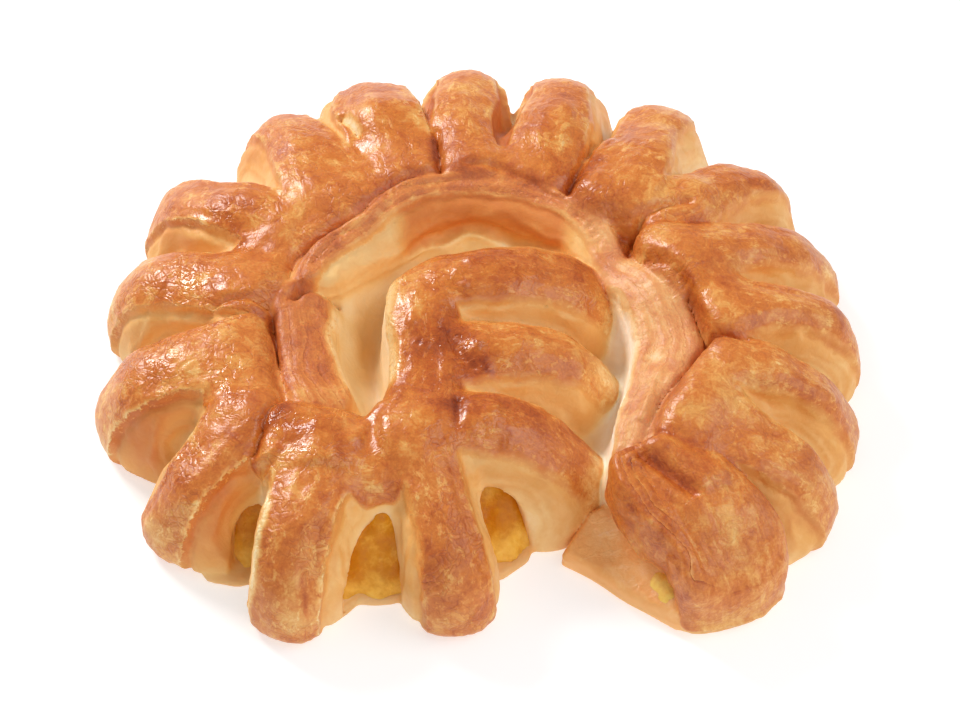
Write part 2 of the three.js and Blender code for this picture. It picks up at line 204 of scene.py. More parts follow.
LIPS = {
 'back':  [(-30.4,1.8,20.4,3.6),(-28.2,5.6,20.8,4.3),(-22.9,11.4,20.8,4.8),(-15.2,18.4,21,4.8),(-7.2,22.6,21,4.4),(1.9,23.3,21,4.2),(10.9,20.9,21,4.2),(18.0,14.9,20.5,4.0),(22.8,8.5,19.5,3.2)],
 'left':  [(-31.9,-3.0,20,5.6),(-31.3,-11.7,20.5,5.0),(-30.3,-18.7,20.5,5.4),(-28.2,-24.5,20,5.0)],
 'right': [(24.6,7.0,19.5,3.2),(30.0,1.4,20.5,4.8),(33.3,-6.9,20.5,5.6),(33.7,-14.0,20.5,5.6),(31.1,-23.3,20.5,5.0),(28.0,-31.4,20.5,4.0),(25.6,-37.0,20,2.6)],
}
WALLS = {
 'inner': [(-27.0,-18.0,11,3.5),(-26.0,-6.0,13,3.5),(-24.7,4.6,15,3.5),(-21.2,12.0,15,3.5),(-11.1,18.0,15,3.5),(0.0,19.5,15,3.5),(12.1,17.0,15,3.5),(19.5,11.5,14.5,3.2)],
 'tip':   [(24.4,6.5,15.0,3.0),(26.2,2.5,15.0,3.8),(27.0,-2.0,13.0,3.6)],
}
LIP_SLOPE = {'back': 0.36, 'left': -0.30, 'right': 0.18}     # rise of a lip's top to the left of its path
# dough under the pleats, so that they stay shallow
PADS = {
 'left':  [(-36.0,-1.0,19.0,4.0),(-35.6,-14.0,19.0,4.0),(-33.0,-26.0,19.0,4.0)],
 'back':  [(-34.0,-2.0,19.0,4.0),(-30.0,9.0,19.0,4.0),(-22.0,17.0,19.0,4.0),(-14.0,22.0,19.0,4.0),(-7.0,27.0,19.0,4.0),(0.0,29.0,19.0,4.0),(8.0,26.5,19.0,4.0),(15.0,21.0,19.0,4.0),(23.0,10.5,19.0,4.0)],
 'right': [(23.0,10.0,18.5,4.5),(30.5,9.0,19.0,4.5),(38.0,0.0,19.0,4.5),(40.0,-13.0,19.0,4.5),(35.0,-23.0,19.0,4.5),(29.0,-35.0,18.5,4.0)],
}
def curve(pts, n=14):
    p = np.array(pts, float)
    q = np.vstack([2 * p[0] - p[1], p, 2 * p[-1] - p[-2]])
    out = []
    for i in range(1, len(q) - 2):
        s = np.linspace(0, 1, n, endpoint=False)[:, None]
        p0, p1, p2, p3 = q[i - 1], q[i], q[i + 1], q[i + 2]
        out.append(0.5 * (2 * p1 + (p2 - p0) * s + (2 * p0 - 5 * p1 + 4 * p2 - p3) * s ** 2 + (3 * p1 - p0 - 3 * p2 + p3) * s ** 3))
    return np.vstack(out + [p[-1:]])

def sweep(c, X, Y, Z, spread=3.0, round_top=3.0, slope=0.0):
    """Field of a bar swept along curve c, with: depth under its top, distance past its edge, share of length, length along, signed across."""
    shape = X.shape
    x, y, z = X.ravel(), Y.ravel(), Z.ravel()
    best = np.full(x.size, 1e9); idx = np.zeros(x.size, int)
    for i, s in enumerate(c):
        d = (x - s[0]) ** 2 + (y - s[1]) ** 2
        m = d < best
        best[m] = d[m]; idx[m] = i
    s = c[idx]
    tang = np.gradient(c[:, :2], axis=0); tang /= np.linalg.norm(tang, axis=1)[:, None]
    run = np.r_[0, np.cumsum(np.linalg.norm(np.diff(c[:, :2], axis=0), axis=1))]
    dx, dy = x - s[:, 0], y - s[:, 1]
    across = -dx * tang[idx, 1] + dy * tang[idx, 0]
    along = run[idx] + dx * tang[idx, 0] + dy * tang[idx, 1]
    lat = np.sqrt(best)
    top = z - s[:, 2] + 0.03 * lat ** 2 - slope * np.clip(across, -7, 7)
    d = rmax(top, lat - s[:, 3] - spread * (1 - np.clip(z / s[:, 2], 0, 1)), round_top)
    d = rmax(d, -z, 2.0)
    return tuple(v.reshape(shape) for v in (d, -top, lat - s[:, 3], along / run[-1], along, across))

FLOOR = (2.0, -8.0, 33.0, 6.0)
def floor_field(X, Y, Z):
    r = np.hypot(X - FLOOR[0], Y - FLOOR[1])
    top = Z - FLOOR[3] - 0.004 * r * r
    return rmax(rmax(top, r - FLOOR[2], 2.0), -Z, 1.5), -top

# flat pieces: outline in plan (counter-clockwise), top height at its middle, slope of the top along x and y
SLABS = {
 'flap':  ([(14.2,-47.3), (27.6,-57.0), (35.6,-62.4), (44.0,-57.0), (27.0,-38.0), (20.6,-40.0), (16.0,-45.2)], 5.9, (0.25, 0.37)),
 'front': ([(-27.0,-54.5), (-18.0,-57.0), (-10.0,-54.5), (-10.0,-42.0), (-27.0,-42.0)], 1.9, (0.0, 0.0)),
 'right': ([(-3.0,-50.0), (4.5,-51.0), (10.0,-46.0), (8.0,-36.0), (-3.0,-40.0)], 1.9, (0.0, 0.0)),
 'left':  ([(-49.0,-51.0), (-41.5,-52.5), (-36.0,-50.0), (-36.0,-40.0), (-46.0,-40.0)], 1.9, (0.0, 0.0)),
}
def slab(p, X, Y, Z, r_side=1.4, r_top=1.4):
    """Field of a flat piece, with: depth under its top, and distance inside its outline."""
    poly, top, (sx, sy) = p
    cx, cy = np.mean(poly, axis=0)
    d = None
    for (x0, y0), (x1, y1) in zip(poly, poly[1:] + poly[:1]):
        L = np.hypot(x1 - x0, y1 - y0)
        e = ((X - x0) * (y1 - y0) - (Y - y0) * (x1 - x0)) / L
        d = e if d is None else rmax(d, e, r_side)
    tz = Z - top - sx * (X - cx) - sy * (Y - cy)
    return rmax(rmax(d, tz, r_top), -Z, 0.8), -tz, d

# pleats where one fold lies on another: path, half-width, depth, step up on the left of the path
CREASES = [
 ([(-35.0,-2.4), (-32.2,-0.3), (-29.2,0.5), (-25.0,0.6)], 0.9, 2.4, 0.9),
 ([(-33.6,-26.1), (-36.1,-29.5), (-37.7,-32.9), (-39.3,-37.4), (-41.0,-39.6)], 0.8, 1.7, 0.9),
 ([(-49.5,-5.1), (-43.3,-3.4), (-37.0,-4.4)], 0.8, 1.4, -0.7),
 ([(-37.0,-4.4), (-36.6,-9.0), (-35.7,-14.5), (-32.7,-26.1)], 1.0, 1.3, 0.0),
 ([(-9.0,39.5), (-8.2,33.1), (-8.0,26.0)], 0.8, 1.5, -0.7),
 ([(-33.4,-2.7), (-32.4,3.7), (-29.8,9.5), (-25.0,15.0), (-22.3,17.4), (-15.2,23.4), (-8.4,26.9)], 0.95, 1.2, -0.6),
 ([(-32.1,1.2), (-29.2,6.5), (-25.0,12.6), (-20.1,16.0), (-14.8,20.0)], 0.5, 0.7, 0.5),
 ([(-4.0,28.8), (1.0,29.0), (7.4,26.7), (14.8,20.5), (23.7,7.7)], 0.7, 0.9, 0.4),
 ([(-21.0,18.2), (-13.0,22.6), (-6.0,25.4), (2.0,26.4), (9.0,24.2), (15.0,19.0)], 0.5, 0.6, 0.45),
 ([(22.1,38.2), (19.5,30.5), (16.1,21.0)], 0.9, 1.6, 0.9),
 ([(39.5,19.4), (34.0,17.6), (29.3,14.0), (26.5,8.6)], 0.9, 1.5, 0.8),
 ([(29.2,8.1), (36.2,0.9), (39.9,-12.2), (38.0,-16.9), (33.6,-25.0), (28.0,-36.3)], 0.8, 1.6, 0.6),
 ([(39.9,-12.7), (44.7,-13.4), (48.6,-14.1)], 0.7, 1.3, 0.6),
 ([(26.8,-39.0), (32.2,-43.0), (38.6,-48.6)], 1.2, 1.7, 1.3),
 ([(24.6,-41.4), (31.4,-47.7), (35.2,-51.6), (37.9,-57.0), (39.6,-61.5)], 0.8, 0.7, -0.4),
 ([(-26.4,43.9), (-24.1,40.6), (-22.0,36.4)], 0.75, 2.0, 0.0),
 ([(-7.2,-11.0), (-3.5,-16.5), (-0.4,-21.5)], 0.9, 0.8, 0.0),
 ([(-4.4,-27.2), (-4.0,-36.3)], 0.9, 1.0, 0.0),
]
# raised rims and folds: path, half-width, height
WELTS = [
 ([(32.0,-24.6), (29.6,-27.6), (28.1,-32.0)], 1.3, 0.9),
 ([(0.9,-20.8), (2.7,-21.8)], 1.1, 0.4),
 ([(-11.0,-15.5), (-9.2,-16.5)], 1.1, 0.4),
 ([(-7.1,-12.8), (-5.3,-13.7)], 1.1, 0.4),
 ([(-5.4,-0.2), (-3.6,-0.8)], 1.3, 0.50),
 ([(-2.6,2.6), (-1.0,2.4)], 1.2, 0.45),
 ([(-11.8,-5.0), (-10.4,-5.6)], 1.2, 0.45),
 ([(-13.2,-11.5), (-11.8,-11.9)], 1.2, 0.40),
 ([(0.2,-15.6), (1.8,-16.4)], 1.5, 0.50),
 ([(1.0,-30.4), (2.8,-31.4)], 1.5, 0.50),
 ([(-3.6,-4.6), (-1.8,-3.8)], 1.0, 0.35),
 ([(6.4,-3.2), (8.2,-2.6)], 1.2, 0.30),
 ([(-29.0,-33.0), (-27.5,-38.0), (-27.0,-43.0)], 4.5, 1.3),
 ([(-16.7,-28.4), (-19.3,-32.9), (-23.6,-38.5)], 1.3, 0.7),
 ([(-13.2,-26.0), (-15.5,-33.0), (-14.8,-40.0)], 1.4, 0.5),
 ([(-13.5,1.8), (-14.3,-3.9), (-15.1,-11.0), (-14.2,-15.7), (-15.6,-26.2)], 0.9, 0.6),
 ([(29.0,-37.2), (36.5,-40.6), (42.5,-44.6)], 1.8, 1.2),
 ([(23.4,-41.0), (24.0,-45.0), (25.6,-48.4), (28.2,-51.6), (32.0,-54.4), (34.9,-57.4), (36.6,-61.0)], 0.8, 0.55),
 ([(-41.6,-39.4), (-38.4,-40.0), (-34.5,-38.6)], 0.9, 0.9),
 ([(-38.2,-40.6), (-36.9,-46.5), (-37.1,-51.4), (-38.0,-55.0), (-38.9,-59.0)], 0.7, 0.8),
 ([(30.5,6.8), (37.2,-0.2), (40.7,-9.0)], 1.0, 0.6),
 ([(33.0,-18.0), (31.0,-24.0), (28.6,-30.5)], 0.8, 0.5),
 ([(35.4,-19.0), (33.0,-25.0), (29.0,-33.5)], 0.8, 0.5),
]
def drawn(pts, X, Y):
    """Distance to a path in plan, signed distance (left positive) and a taper to nothing at its ends."""
    c = curve([(x, y, 0, 0) for x, y in pts], 10)[:, :2]
    tang = np.gradient(c, axis=0); tang /= np.linalg.norm(tang, axis=1)[:, None]
    best = np.full(X.shape, 1e9); idx = np.zeros(X.shape, int)
    for i, s in enumerate(c):
        d = (X - s[0]) ** 2 + (Y - s[1]) ** 2
        m = d < best
        best[m] = d[m]; idx[m] = i
    side = -(X - c[idx, 0]) * tang[idx, 1] + (Y - c[idx, 1]) * tang[idx, 0]
    t = idx / (len(c) - 1)
    return np.sqrt(best), side, smooth(t, -0.02, 0.12) * (1 - smooth(t, 0.88, 1.02))

def pleats(X, Y):
    """How far creases and welts push the surface in (positive) or out, in plan."""
    A = np.zeros(X.shape)
    for pts, w, depth, step in CREASES:
        d, side, taper = drawn(pts, X, Y)
        A += taper * depth * np.exp(-(d / w) ** 2)
        A -= taper * abs(step) * (0.5 + 0.5 * np.tanh(np.sign(step) * side / 0.5)) * np.exp(-(d / 4.5) ** 2)
    for pts, w, rise in WELTS:
        d, side, taper = drawn(pts, X, Y)
        A -= taper * rise * np.exp(-(d / w) ** 2)
    return A

# paste seen in the cuts: middle of its lower edge in plan, half-width and height of the arch it fills, the way the cut opens, how far it leans back per mm of height
PASTE = [
 ((-19.0,-55.6), 5.3, 12.4, (0.02,-1.00), 0.56),
 ((  5.8,-47.2), 5.0, 14.0, (0.56,-0.83), 0.78),
 ((-41.4,-48.6), 2.1, 10.0, (-0.30,-0.95), 0.85),
]
# a dab of it squeezed out under the strip's end: middle, radii, the way it lies
DABS = [((32.85,-55.75, 3.85), (4.35, 3.4, 1.9), (0.74,-0.67))]
PASTE_PATH = [(-2.0,-6.0,12,4.5), (-2.5,-22.0,12,4.5), (-7.5,-37.0,12,4.5), (-19.0,-46.0,12,4.5), (-38.5,-37.5,12,4.5), (-46.5,-24.5,12,4.5), (-47.2,-5.0,12,4.5), (-43.2,10.5,12,4.5), (-32.0,25.5,12,4.5),
 (-22.5,36.0,12,4.5), (-8.5,39.0,12,4.5), (7.5,39.5,12,4.5), (20.5,36.0,12,4.5), (34.0,28.0,12,4.5), (46.0,16.5,12,4.5), (48.5,1.0,12,4.5), (50.0,-11.5,12,4.5), (48.0,-23.5,12,4.5), (42.5,-40.0,12,4.5)]

def pocket(p, X, Y, Z):
    """Fields of an arched cut and of the space in front of the paste in it, and distance past the paste's lower edge."""
    (cx, cy), w, h, o, lean = p
    n = np.hypot(*o)
    a = ((X - cx) * o[0] + (Y - cy) * o[1]) / n
    b = (-(X - cx) * o[1] + (Y - cy) * o[0]) / n
    arch = (np.sqrt((b / w) ** 2 + (np.maximum(Z - 1.5, 0) / h) ** 2) - 1) * w * 0.9
    bulge = 0.5 * np.sin(1.1 * b + 0.7) * np.sin(0.55 * Z + 0.4)
    return arch, bulge - (a + lean * (Z - 1.5)) / np.hypot(1, lean), a

def dab(p, X, Y, Z):
    c, r, o = p
    n = np.hypot(*o)
    a = ((X - c[0]) * o[0] + (Y - c[1]) * o[1]) / n
    b = (-(X - c[0]) * o[1] + (Y - c[1]) * o[0]) / n
    sx, sy = SLABS['flap'][2]
    up = Z - c[2] - sx * (X - c[0]) - sy * (Y - c[1])     # it lies on the flap's slope
    return (np.sqrt((a / r[0]) ** 2 + (b / r[1]) ** 2 + (up / r[2]) ** 2) - 1) * min(r)

# ================================================================ dough on a grid
LO, HI = np.array([-76.0, -74.0, -2.0]), np.array([76.0, 74.0, 30.0])

class Grid:
    def __init__(self, h):
        self.h = h
        self.n = np.ceil((HI - LO) / h).astype(int) + 1
        self.ax = [LO[i] + h * np.arange(self.n[i]) for i in range(3)]
        self.D = np.full(tuple(self.n), 50.0, np.float32)
    def sub(self, lo, hi):
        i0 = np.maximum(((np.array(lo) - LO) / self.h).astype(int), 0)
        i1 = np.minimum(((np.array(hi) - LO) / self.h).astype(int) + 2, self.n)
        sl = tuple(slice(a, b) for a, b in zip(i0, i1))
        return sl, warp(*np.meshgrid(*(self.ax[i][sl[i]] for i in range(3)), indexing='ij'))

def plan_box(pts, pad, top=30.0):
    pts = np.asarray(pts)[:, :2]
    return (*(pts.min(0) - pad), -2.0), (*(pts.max(0) + pad), top)

def dough_grid(h):
    g = Grid(h)
    for k in sorted({p[8] for p in FINGERS.values()}):
        members = [p for p in FINGERS.values() if p[8] == k]
        sl, (X, Y, Z) = g.sub(*plan_box([q for p in members for q in p[:2]], 18))
        G = np.full(X.shape, 50.0)
        for p in members:
            G = smin(G, finger(p, X, Y, Z)[0], SOFT_JOIN)
        if k in SPINES:
            G = smin(G, sweep(curve(SPINES[k]), X, Y, Z)[0], 3.5)
        g.D[sl] = smin(g.D[sl], G, CRISP_JOIN)
    sl, (X, Y, Z) = g.sub(*plan_box(STRIP[0], 8))
    g.D[sl] = smin(g.D[sl], strip_end(X, Y, Z)[0], CRISP_JOIN)
    for name, pts in LIPS.items():
        sl, (X, Y, Z) = g.sub(*plan_box(pts, 14))
        g.D[sl] = smin(g.D[sl], sweep(curve(pts), X, Y, Z, 3.0, 1.8, LIP_SLOPE[name])[0], 0.6)
    for pts in PADS.values():
        sl, (X, Y, Z) = g.sub(*plan_box(pts, 14))
        g.D[sl] = smin(g.D[sl], sweep(curve(pts), X, Y, Z)[0], 1.5)
    for pts in WALLS.values():
        sl, (X, Y, Z) = g.sub(*plan_box(pts, 14))
        g.D[sl] = smin(g.D[sl], sweep(curve(pts), X, Y, Z)[0], 2.0)
    sl, (X, Y, Z) = g.sub((-45, -50, -2), (50, 40, 14))
    g.D[sl] = smin(g.D[sl], floor_field(X, Y, Z)[0], 3.0)
    for name, p in SLABS.items():
        sl, (X, Y, Z) = g.sub(*plan_box(p[0], 6))
        g.D[sl] = smin(g.D[sl], slab(p, X, Y, Z)[0], 0.6 if name == 'flap' else 1.5)
    # creases and welts, on the upper side only
    X, Y = np.meshgrid(g.ax[0], g.ax[1], indexing='ij')
    X, Y, _ = warp(X, Y, np.full(X.shape, 20.0))
    g.D += (pleats(X, Y)[:, :, None] * smooth(g.ax[2], 6.0, 12.0)[None, None, :]).astype(np.float32)
    # open the cuts in front of the paste, above the sheet it lies on
    for p in PASTE:
        c = p[0]
        sl, (X, Y, Z) = g.sub((c[0] - 20, c[1] - 20, -2), (c[0] + 20, c[1] + 20, 22))
        arch, front, ahead = pocket(p, X, Y, Z)
        g.D[sl] = np.maximum(g.D[sl], -rmax(rmax(arch, np.maximum(front - 1.6, 1.8 - Z), 0.6), ahead - 4.0, 0.6))
    return g

def paste_grid(h):
    g = Grid(h)
    c = curve(PASTE_PATH)
    sl, (X, Y, Z) = g.sub(*plan_box(PASTE_PATH, 10, 16))
    d = sweep(c, X, Y, Z, spread=0.0)[0]
    g.D[sl] = np.minimum(g.D[sl], rmax(d, 4.0 - Z, 2.0))
    for p in PASTE:
        c = p[0]
        sl, (X, Y, Z) = g.sub((c[0] - 20, c[1] - 20, -2), (c[0] + 20, c[1] + 20, 22))
        arch, front, ahead = pocket(p, X, Y, Z)
        g.D[sl] = smin(g.D[sl], rmax(rmax(arch - 1.0, np.maximum(-front, 1.3 - Z), 0.6), -ahead - 12.0, 0.6), 1.0)
    for p in DABS:
        c = p[0]
        sl, (X, Y, Z) = g.sub((c[0] - 8, c[1] - 8, 0), (c[0] + 8, c[1] + 8, 12))
        g.D[sl] = np.minimum(g.D[sl], dab(p, X, Y, Z))
    return g

def surface_nets(D, ax):
    """Closed quad mesh of D's zero surface."""
    s = D < 0
    c = np.zeros(tuple(np.array(s.shape) - 1), np.uint8)
    offs = [(i, j, k) for i in (0, 1) for j in (0, 1) for k in (0, 1)]
    for o in offs:
        c += s[o[0]:s.shape[0] - 1 + o[0], o[1]:s.shape[1] - 1 + o[1], o[2]:s.shape[2] - 1 + o[2]]
    act = (c > 0) & (c < 8)
    cell = np.argwhere(act)
    idx = np.full(act.shape, -1, np.int32); idx[act] = np.arange(len(cell))
    acc = np.zeros((len(cell), 3)); cnt = np.zeros(len(cell))
    for o in offs:
        for d in range(3):
            if o[d]:
                continue
            o2 = list(o); o2[d] = 1
            f0 = D[cell[:, 0] + o[0], cell[:, 1] + o[1], cell[:, 2] + o[2]]
            f1 = D[cell[:, 0] + o2[0], cell[:, 1] + o2[1], cell[:, 2] + o2[2]]
            m = (f0 < 0) != (f1 < 0)
            p = np.tile(np.array(o, float), (m.sum(), 1)); p[:, d] += f0[m] / (f0[m] - f1[m])
            acc[m] += p; cnt[m] += 1
    V = (cell + acc / cnt[:, None]) * (ax[0][1] - ax[0][0]) + np.array([a[0] for a in ax])
    quads = []
    for d in range(3):
        o1, o2 = (d + 1) % 3, (d + 2) % 3
        lo = [slice(None)] * 3; hi = [slice(None)] * 3
        lo[d] = slice(0, -1); hi[d] = slice(1, None)
        for o in (o1, o2):
            lo[o] = hi[o] = slice(1, -1)
        I = np.argwhere(s[tuple(lo)] != s[tuple(hi)]); I[:, o1] += 1; I[:, o2] += 1
        def at(d1, d2):
            J = I.copy(); J[:, o1] += d1; J[:, o2] += d2
            return idx[J[:, 0], J[:, 1], J[:, 2]]
        q = np.stack([at(-1, -1), at(0, -1), at(0, 0), at(-1, 0)], 1)
        out = ~s[I[:, 0], I[:, 1], I[:, 2]]
        q[out] = q[out][:, ::-1]
        quads.append(q)
    return V, np.vstack(quads)

def vert_normals(V, Q):
    n = np.cross(V[Q[:, 2]] - V[Q[:, 0]], V[Q[:, 3]] - V[Q[:, 1]])
    out = np.zeros_like(V)
    for i in range(4):
        for k in range(3):
            out[:, k] += np.bincount(Q[:, i], n[:, k], len(V))
    return out / np.maximum(np.linalg.norm(out, axis=1), 1e-12)[:, None]

def eased(V, Q, N, rounds=4):
    """Rounds off the sharpest inner corners, where the grid leaves teeth."""
    I = np.concatenate([Q[:, k] for k in (0, 1, 2, 3, 1, 2, 3, 0)]); J = np.concatenate([Q[:, k] for k in (1, 2, 3, 0, 0, 1, 2, 3)])
    count = np.maximum(np.bincount(I, minlength=len(V)), 1)[:, None]
    for _ in range(rounds):
        step = np.stack([np.bincount(I, V[J, k], len(V)) for k in range(3)], 1) / count - V
        w = smooth((step * N).sum(1), 0.07, 0.20)
        V = V + 0.7 * w[:, None] * step
    return V

# ================================================================ what each point of the dough's surface is
# how gradually each finger's crust passes into its cut face
SOFT = [1.0, 1.0, 1.0, 0.2, 0.1, 0.1, 0.15, 0.15, 0.1, 0.2, 0.2, 0.5, 0.5, 0.6, 0.6, 0.7, 0.7, 0.6, 0.6]
def surface_facts(V):
    """Per point of the dough: rim (below 0 on browned skin, above 0 on a cut face, in mm), crust (0 to 1 from it), shares of lip, pale inside and flap,
    layer (mm under the skin), edge (mm past a finger's crust edge), t (share of finger), local along and across, how surely it belongs to one piece, and distance to the paste."""
    X, Y, Z = warp(V[:, 0], V[:, 1], V[:, 2])
    n = len(V)
    rows = []
    def add(kind, box, pad, fn, seed, group=99):
        lo, hi = plan_box(box, pad)
        m = (X > lo[0]) & (X < hi[0]) & (Y > lo[1]) & (Y < hi[1])
        r = {'kind': kind, 'seed': seed, 'group': group}
        for key, val in zip(('d', 'skin', 'edge', 't', 'u', 'v'), fn(X[m], Y[m], Z[m])):
            full = np.full(n, 60.0 if key == 'd' else 0.0); full[m] = val
            r[key] = full
        rows.append(r)
    for i, p in enumerate(FINGERS.values()):
        add('finger', p[:2], 18, lambda x, y, z, p=p: finger(p, x, y, z), i, p[8])
    add('strip', STRIP[0], 8, strip_end, 19, 8)
    for k, (kind, table) in enumerate((('spine', SPINES), ('lip', LIPS), ('pad', PADS), ('wall', WALLS))):
        for i, (name, pts) in enumerate(table.items()):
            shape = (3.0, 1.8, LIP_SLOPE[name]) if kind == 'lip' else (3.0, 3.0, 0.0)
            add(kind, pts, 14, lambda x, y, z, pts=pts, shape=shape: sweep(curve(pts), x, y, z, *shape), 24 + 10 * k + i, {'spine': name, 'lip': 20 + i}.get(kind, 99))
    for i, (name, p) in enumerate(SLABS.items()):
        def flat(x, y, z, p=p):
            d, skin, edge = slab(p, x, y, z)
            return d, skin, edge, 0 * d, x, y
        add('flap' if name == 'flap' else 'sheet', p[0], 6, flat, 64 + i, 30 if name == 'flap' else 99)
    def base(x, y, z):
        d, skin = floor_field(x, y, z)
        return d, skin, 0 * d, 0 * d, x, y
    add('floor', [(FLOOR[0] - 26, FLOOR[1] - 26), (FLOOR[0] + 26, FLOOR[1] + 26)], 12, base, 70)
    D = np.array([r['d'] for r in rows])
    two = np.partition(D, 1, axis=0)[:2]
    groups = np.array([r['group'] for r in rows])
    by = np.array([D[groups == k].min(axis=0) for k in sorted(set(groups.tolist()) - {99})])
    first = np.partition(by, 1, axis=0)[:2]
    keys = ('rim', 'lip', 'pale', 'layer', 'edge', 't', 'flap', 'soft', 'strip', 'tip')
    facts = {k: np.zeros(n) for k in keys + ('u', 'v', 'seed')}
    facts['own'] = smooth(two[1] - two[0], 0.3, 2.5)
    facts['seam'] = np.exp(-(first[1] - first[0]) / 0.9)
    tot = np.zeros(n); near = np.full(n, 1e9)
    wob = fbm(V, 4.0, 3, 31) * 0.45
    for r in rows:
        w = np.exp(-np.clip(r['d'] - two[0], 0, 12) / 0.5)
        w[r['d'] > 50] = 0
        tot += w
        layer = np.maximum(r['skin'], 0)
        if r['kind'] == 'finger':
            rim = np.maximum(np.maximum(r['edge'] - 0.3, r['skin'] - 1.9), -24 * (r['t'] + 0.01))
            facts['soft'] += w * SOFT[r['seed']]; facts['tip'] += w * (r['seed'] < 3) * smooth(r['t'], 0.84, 1.02)
        elif r['kind'] == 'strip':
            rim = 1.4 - Z + 0 * layer; facts['strip'] += w; facts['soft'] += 0.3 * w
        elif r['kind'] == 'flap':
            rim = np.maximum(r['edge'] + 0.9 + 1.5 * wob, r['skin'] - 1.2); facts['flap'] += w; facts['soft'] += w
        elif r['kind'] in ('spine', 'pad'):
            rim = r['skin'] - 3.2; facts['soft'] += (0.9 if r['seed'] == 24 else 0.4) * w
        elif r['kind'] == 'lip':
            rim = np.maximum(r['edge'] + 0.2, r['skin'] - 2.4); facts['lip'] += w; facts['soft'] += 0.8 * w
            if r['seed'] == 34:
                rim = np.maximum(rim, -r['v'] - 0.6)
        else:
            rim = 3.0 + 0 * layer; layer = layer + 3.0; facts['pale'] += w
        facts['rim'] += w * np.clip(rim + wob, -3, 3)
        facts['layer'] += w * layer
        facts['edge'] += w * np.clip(r['edge'], -12, 12); facts['t'] += w * r['t']
        m = r['d'] < near
        near[m] = r['d'][m]
        for k in ('u', 'v'):
            facts[k][m] = r[k][m]
        facts['seed'][m] = r['seed']
    for k in keys:
        facts[k] /= np.maximum(tot, 1e-9)
    facts['crust'] = 1 - smooth(facts['rim'], -0.25, 0.35)
    near = []
    for p in PASTE:
        arch, front, ahead = pocket(p, X, Y, Z)
        near.append(np.maximum(np.maximum(np.abs(arch), np.abs(front)), ahead - 1.0))
    facts['paste'] = np.min(near, axis=0)
    return facts

# ================================================================ surface relief
SHIFT = np.array([-0.09, 0.55, 0.0])     # plan shift shared with the solids

def saw(ph, soft):
    """One small step to a unit, with a soft riser."""
    fr = ph - np.floor(ph)
    return smooth(fr, 0.0, soft) - fr

def ledge(V, f):
    """On the wall at the back of the hollow: height over a wavy torn edge, and where that counts."""
    z = np.interp(V[:, 0], [-16.0, -11.0, -6.9, -2.0, 3.0, 6.9, 11.9, 14.1, 18.0], [14.6, 15.6, 14.2, 15.6, 14.6, 13.2, 14.4, 15.6, 16.0]) + 0.4 * fbm(V, 4.0, 2, 401)
    return V[:, 2] - z, smooth(V[:, 1], 10.0, 14.0) * (1 - smooth(np.abs(V[:, 0] - 1), 13.0, 18.0)) * (1 - f['crust'])

def leaves(V, layer, a, b):
    """Steps from leaf to leaf on a cut face: amount near the crust, and on the right-hand side, where they show further down."""
    right = smooth(V[:, 0], 28.0, 42.0)
    return (a + (b - a) * right) * saw(layer / (2.1 - 0.5 * right) + 0.6 * fbm(V, 10.0, 2, 81), 0.2) * (1 - smooth(layer, 2.2 + 1.6 * right, 5.0 + 2.6 * right))

def plies(V, f):
    """Count of the leaves of dough that lie side by side along a lip, or along the free end's rim."""
    return np.where(f['strip'] > 0.5, (f['edge'] + 0.9 * fbm(V, 9.0, 2, 78)) / 1.9, (f['v'] + 1.0 * fbm(V, 8.0, 2, 79)) / 2.3)

def banded(f):
    """The free end's rolled rim, where leaves of dough run side by side."""
    return f['strip'] * smooth(-f['v'], 1.0, 6.0) * smooth(f['edge'], -8.5, -5.5)

def relief(V, f):
    """Height of the fine form over the field's surface, along its normal, in mm."""
    crust, lip, pale, layer, edge, rim, own = (f[k] for k in ('crust', 'lip', 'pale', 'layer', 'edge', 'rim', 'own'))
    cut = np.clip(1 - crust, 0, 1) * (1 - pale)
    h = 0.25 * fbm(V, 8.0, 2, 51)
    # wrinkled, blistered skin
    coil = np.clip(f['soft'] - 0.7, 0, 0.3) / 0.3 * (1 - lip)
    h += crust * ((1 - 0.6 * coil) * (0.18 * (0.62 - np.abs(fbm(V, 3.8, 2, 61))) + 0.05 * fbm(V, 1.7, 2, 71)) + 0.35 * coil * fbm(V, 6.5, 2, 66))
    # leaves of dough that end on the crust, along the finger
    lines_ = fbm(np.stack([(f['u'] - V[:, 2]) * 0.16, f['v'], 7.3 * f['seed']], 1), 2.3, 2, 75)
    h += crust * own * (0.14 * (1 - 0.8 * coil) + 0.14 * lip + 0.10 * f['strip']) * lines_
    h += crust * 0.18 * saw((edge + 0.7 * fbm(V, 7.0, 2, 77)) / 1.7, 0.25) * smooth(edge, -6.0, -1.5) * (1 - lip)
    h += crust * (0.75 * banded(f) + 0.38 * f['lip']) * saw(plies(V, f), 0.3)
    # the crust ends in a small shelf over the cut face, which is drawn in under it
    h += (0.36 * np.exp(-((rim + 0.50) / 0.55) ** 2) - 0.70 * np.exp(-((rim - 0.80) / 0.55) ** 2)) * (1 - pale) * (1 - 0.8 * f['soft'])
    # leaves on the cut faces, deepest near the crust
    h += cut * leaves(V, layer, 0.36, 0.32)
    h += cut * 0.10 * fbm(V, 3.0, 2, 91)
    dz, back = ledge(V, f)
    h += back * (0.7 * np.exp(-((dz + 0.3) / 0.7) ** 2) - 0.75 * np.exp(-((dz - 1.5) / 0.9) ** 2))
    # soft crumb inside
    h += pale * (0.45 * fbm(V, 7.0, 2, 121) + 0.08 * fbm(V, 2.0, 2, 131))
    return h

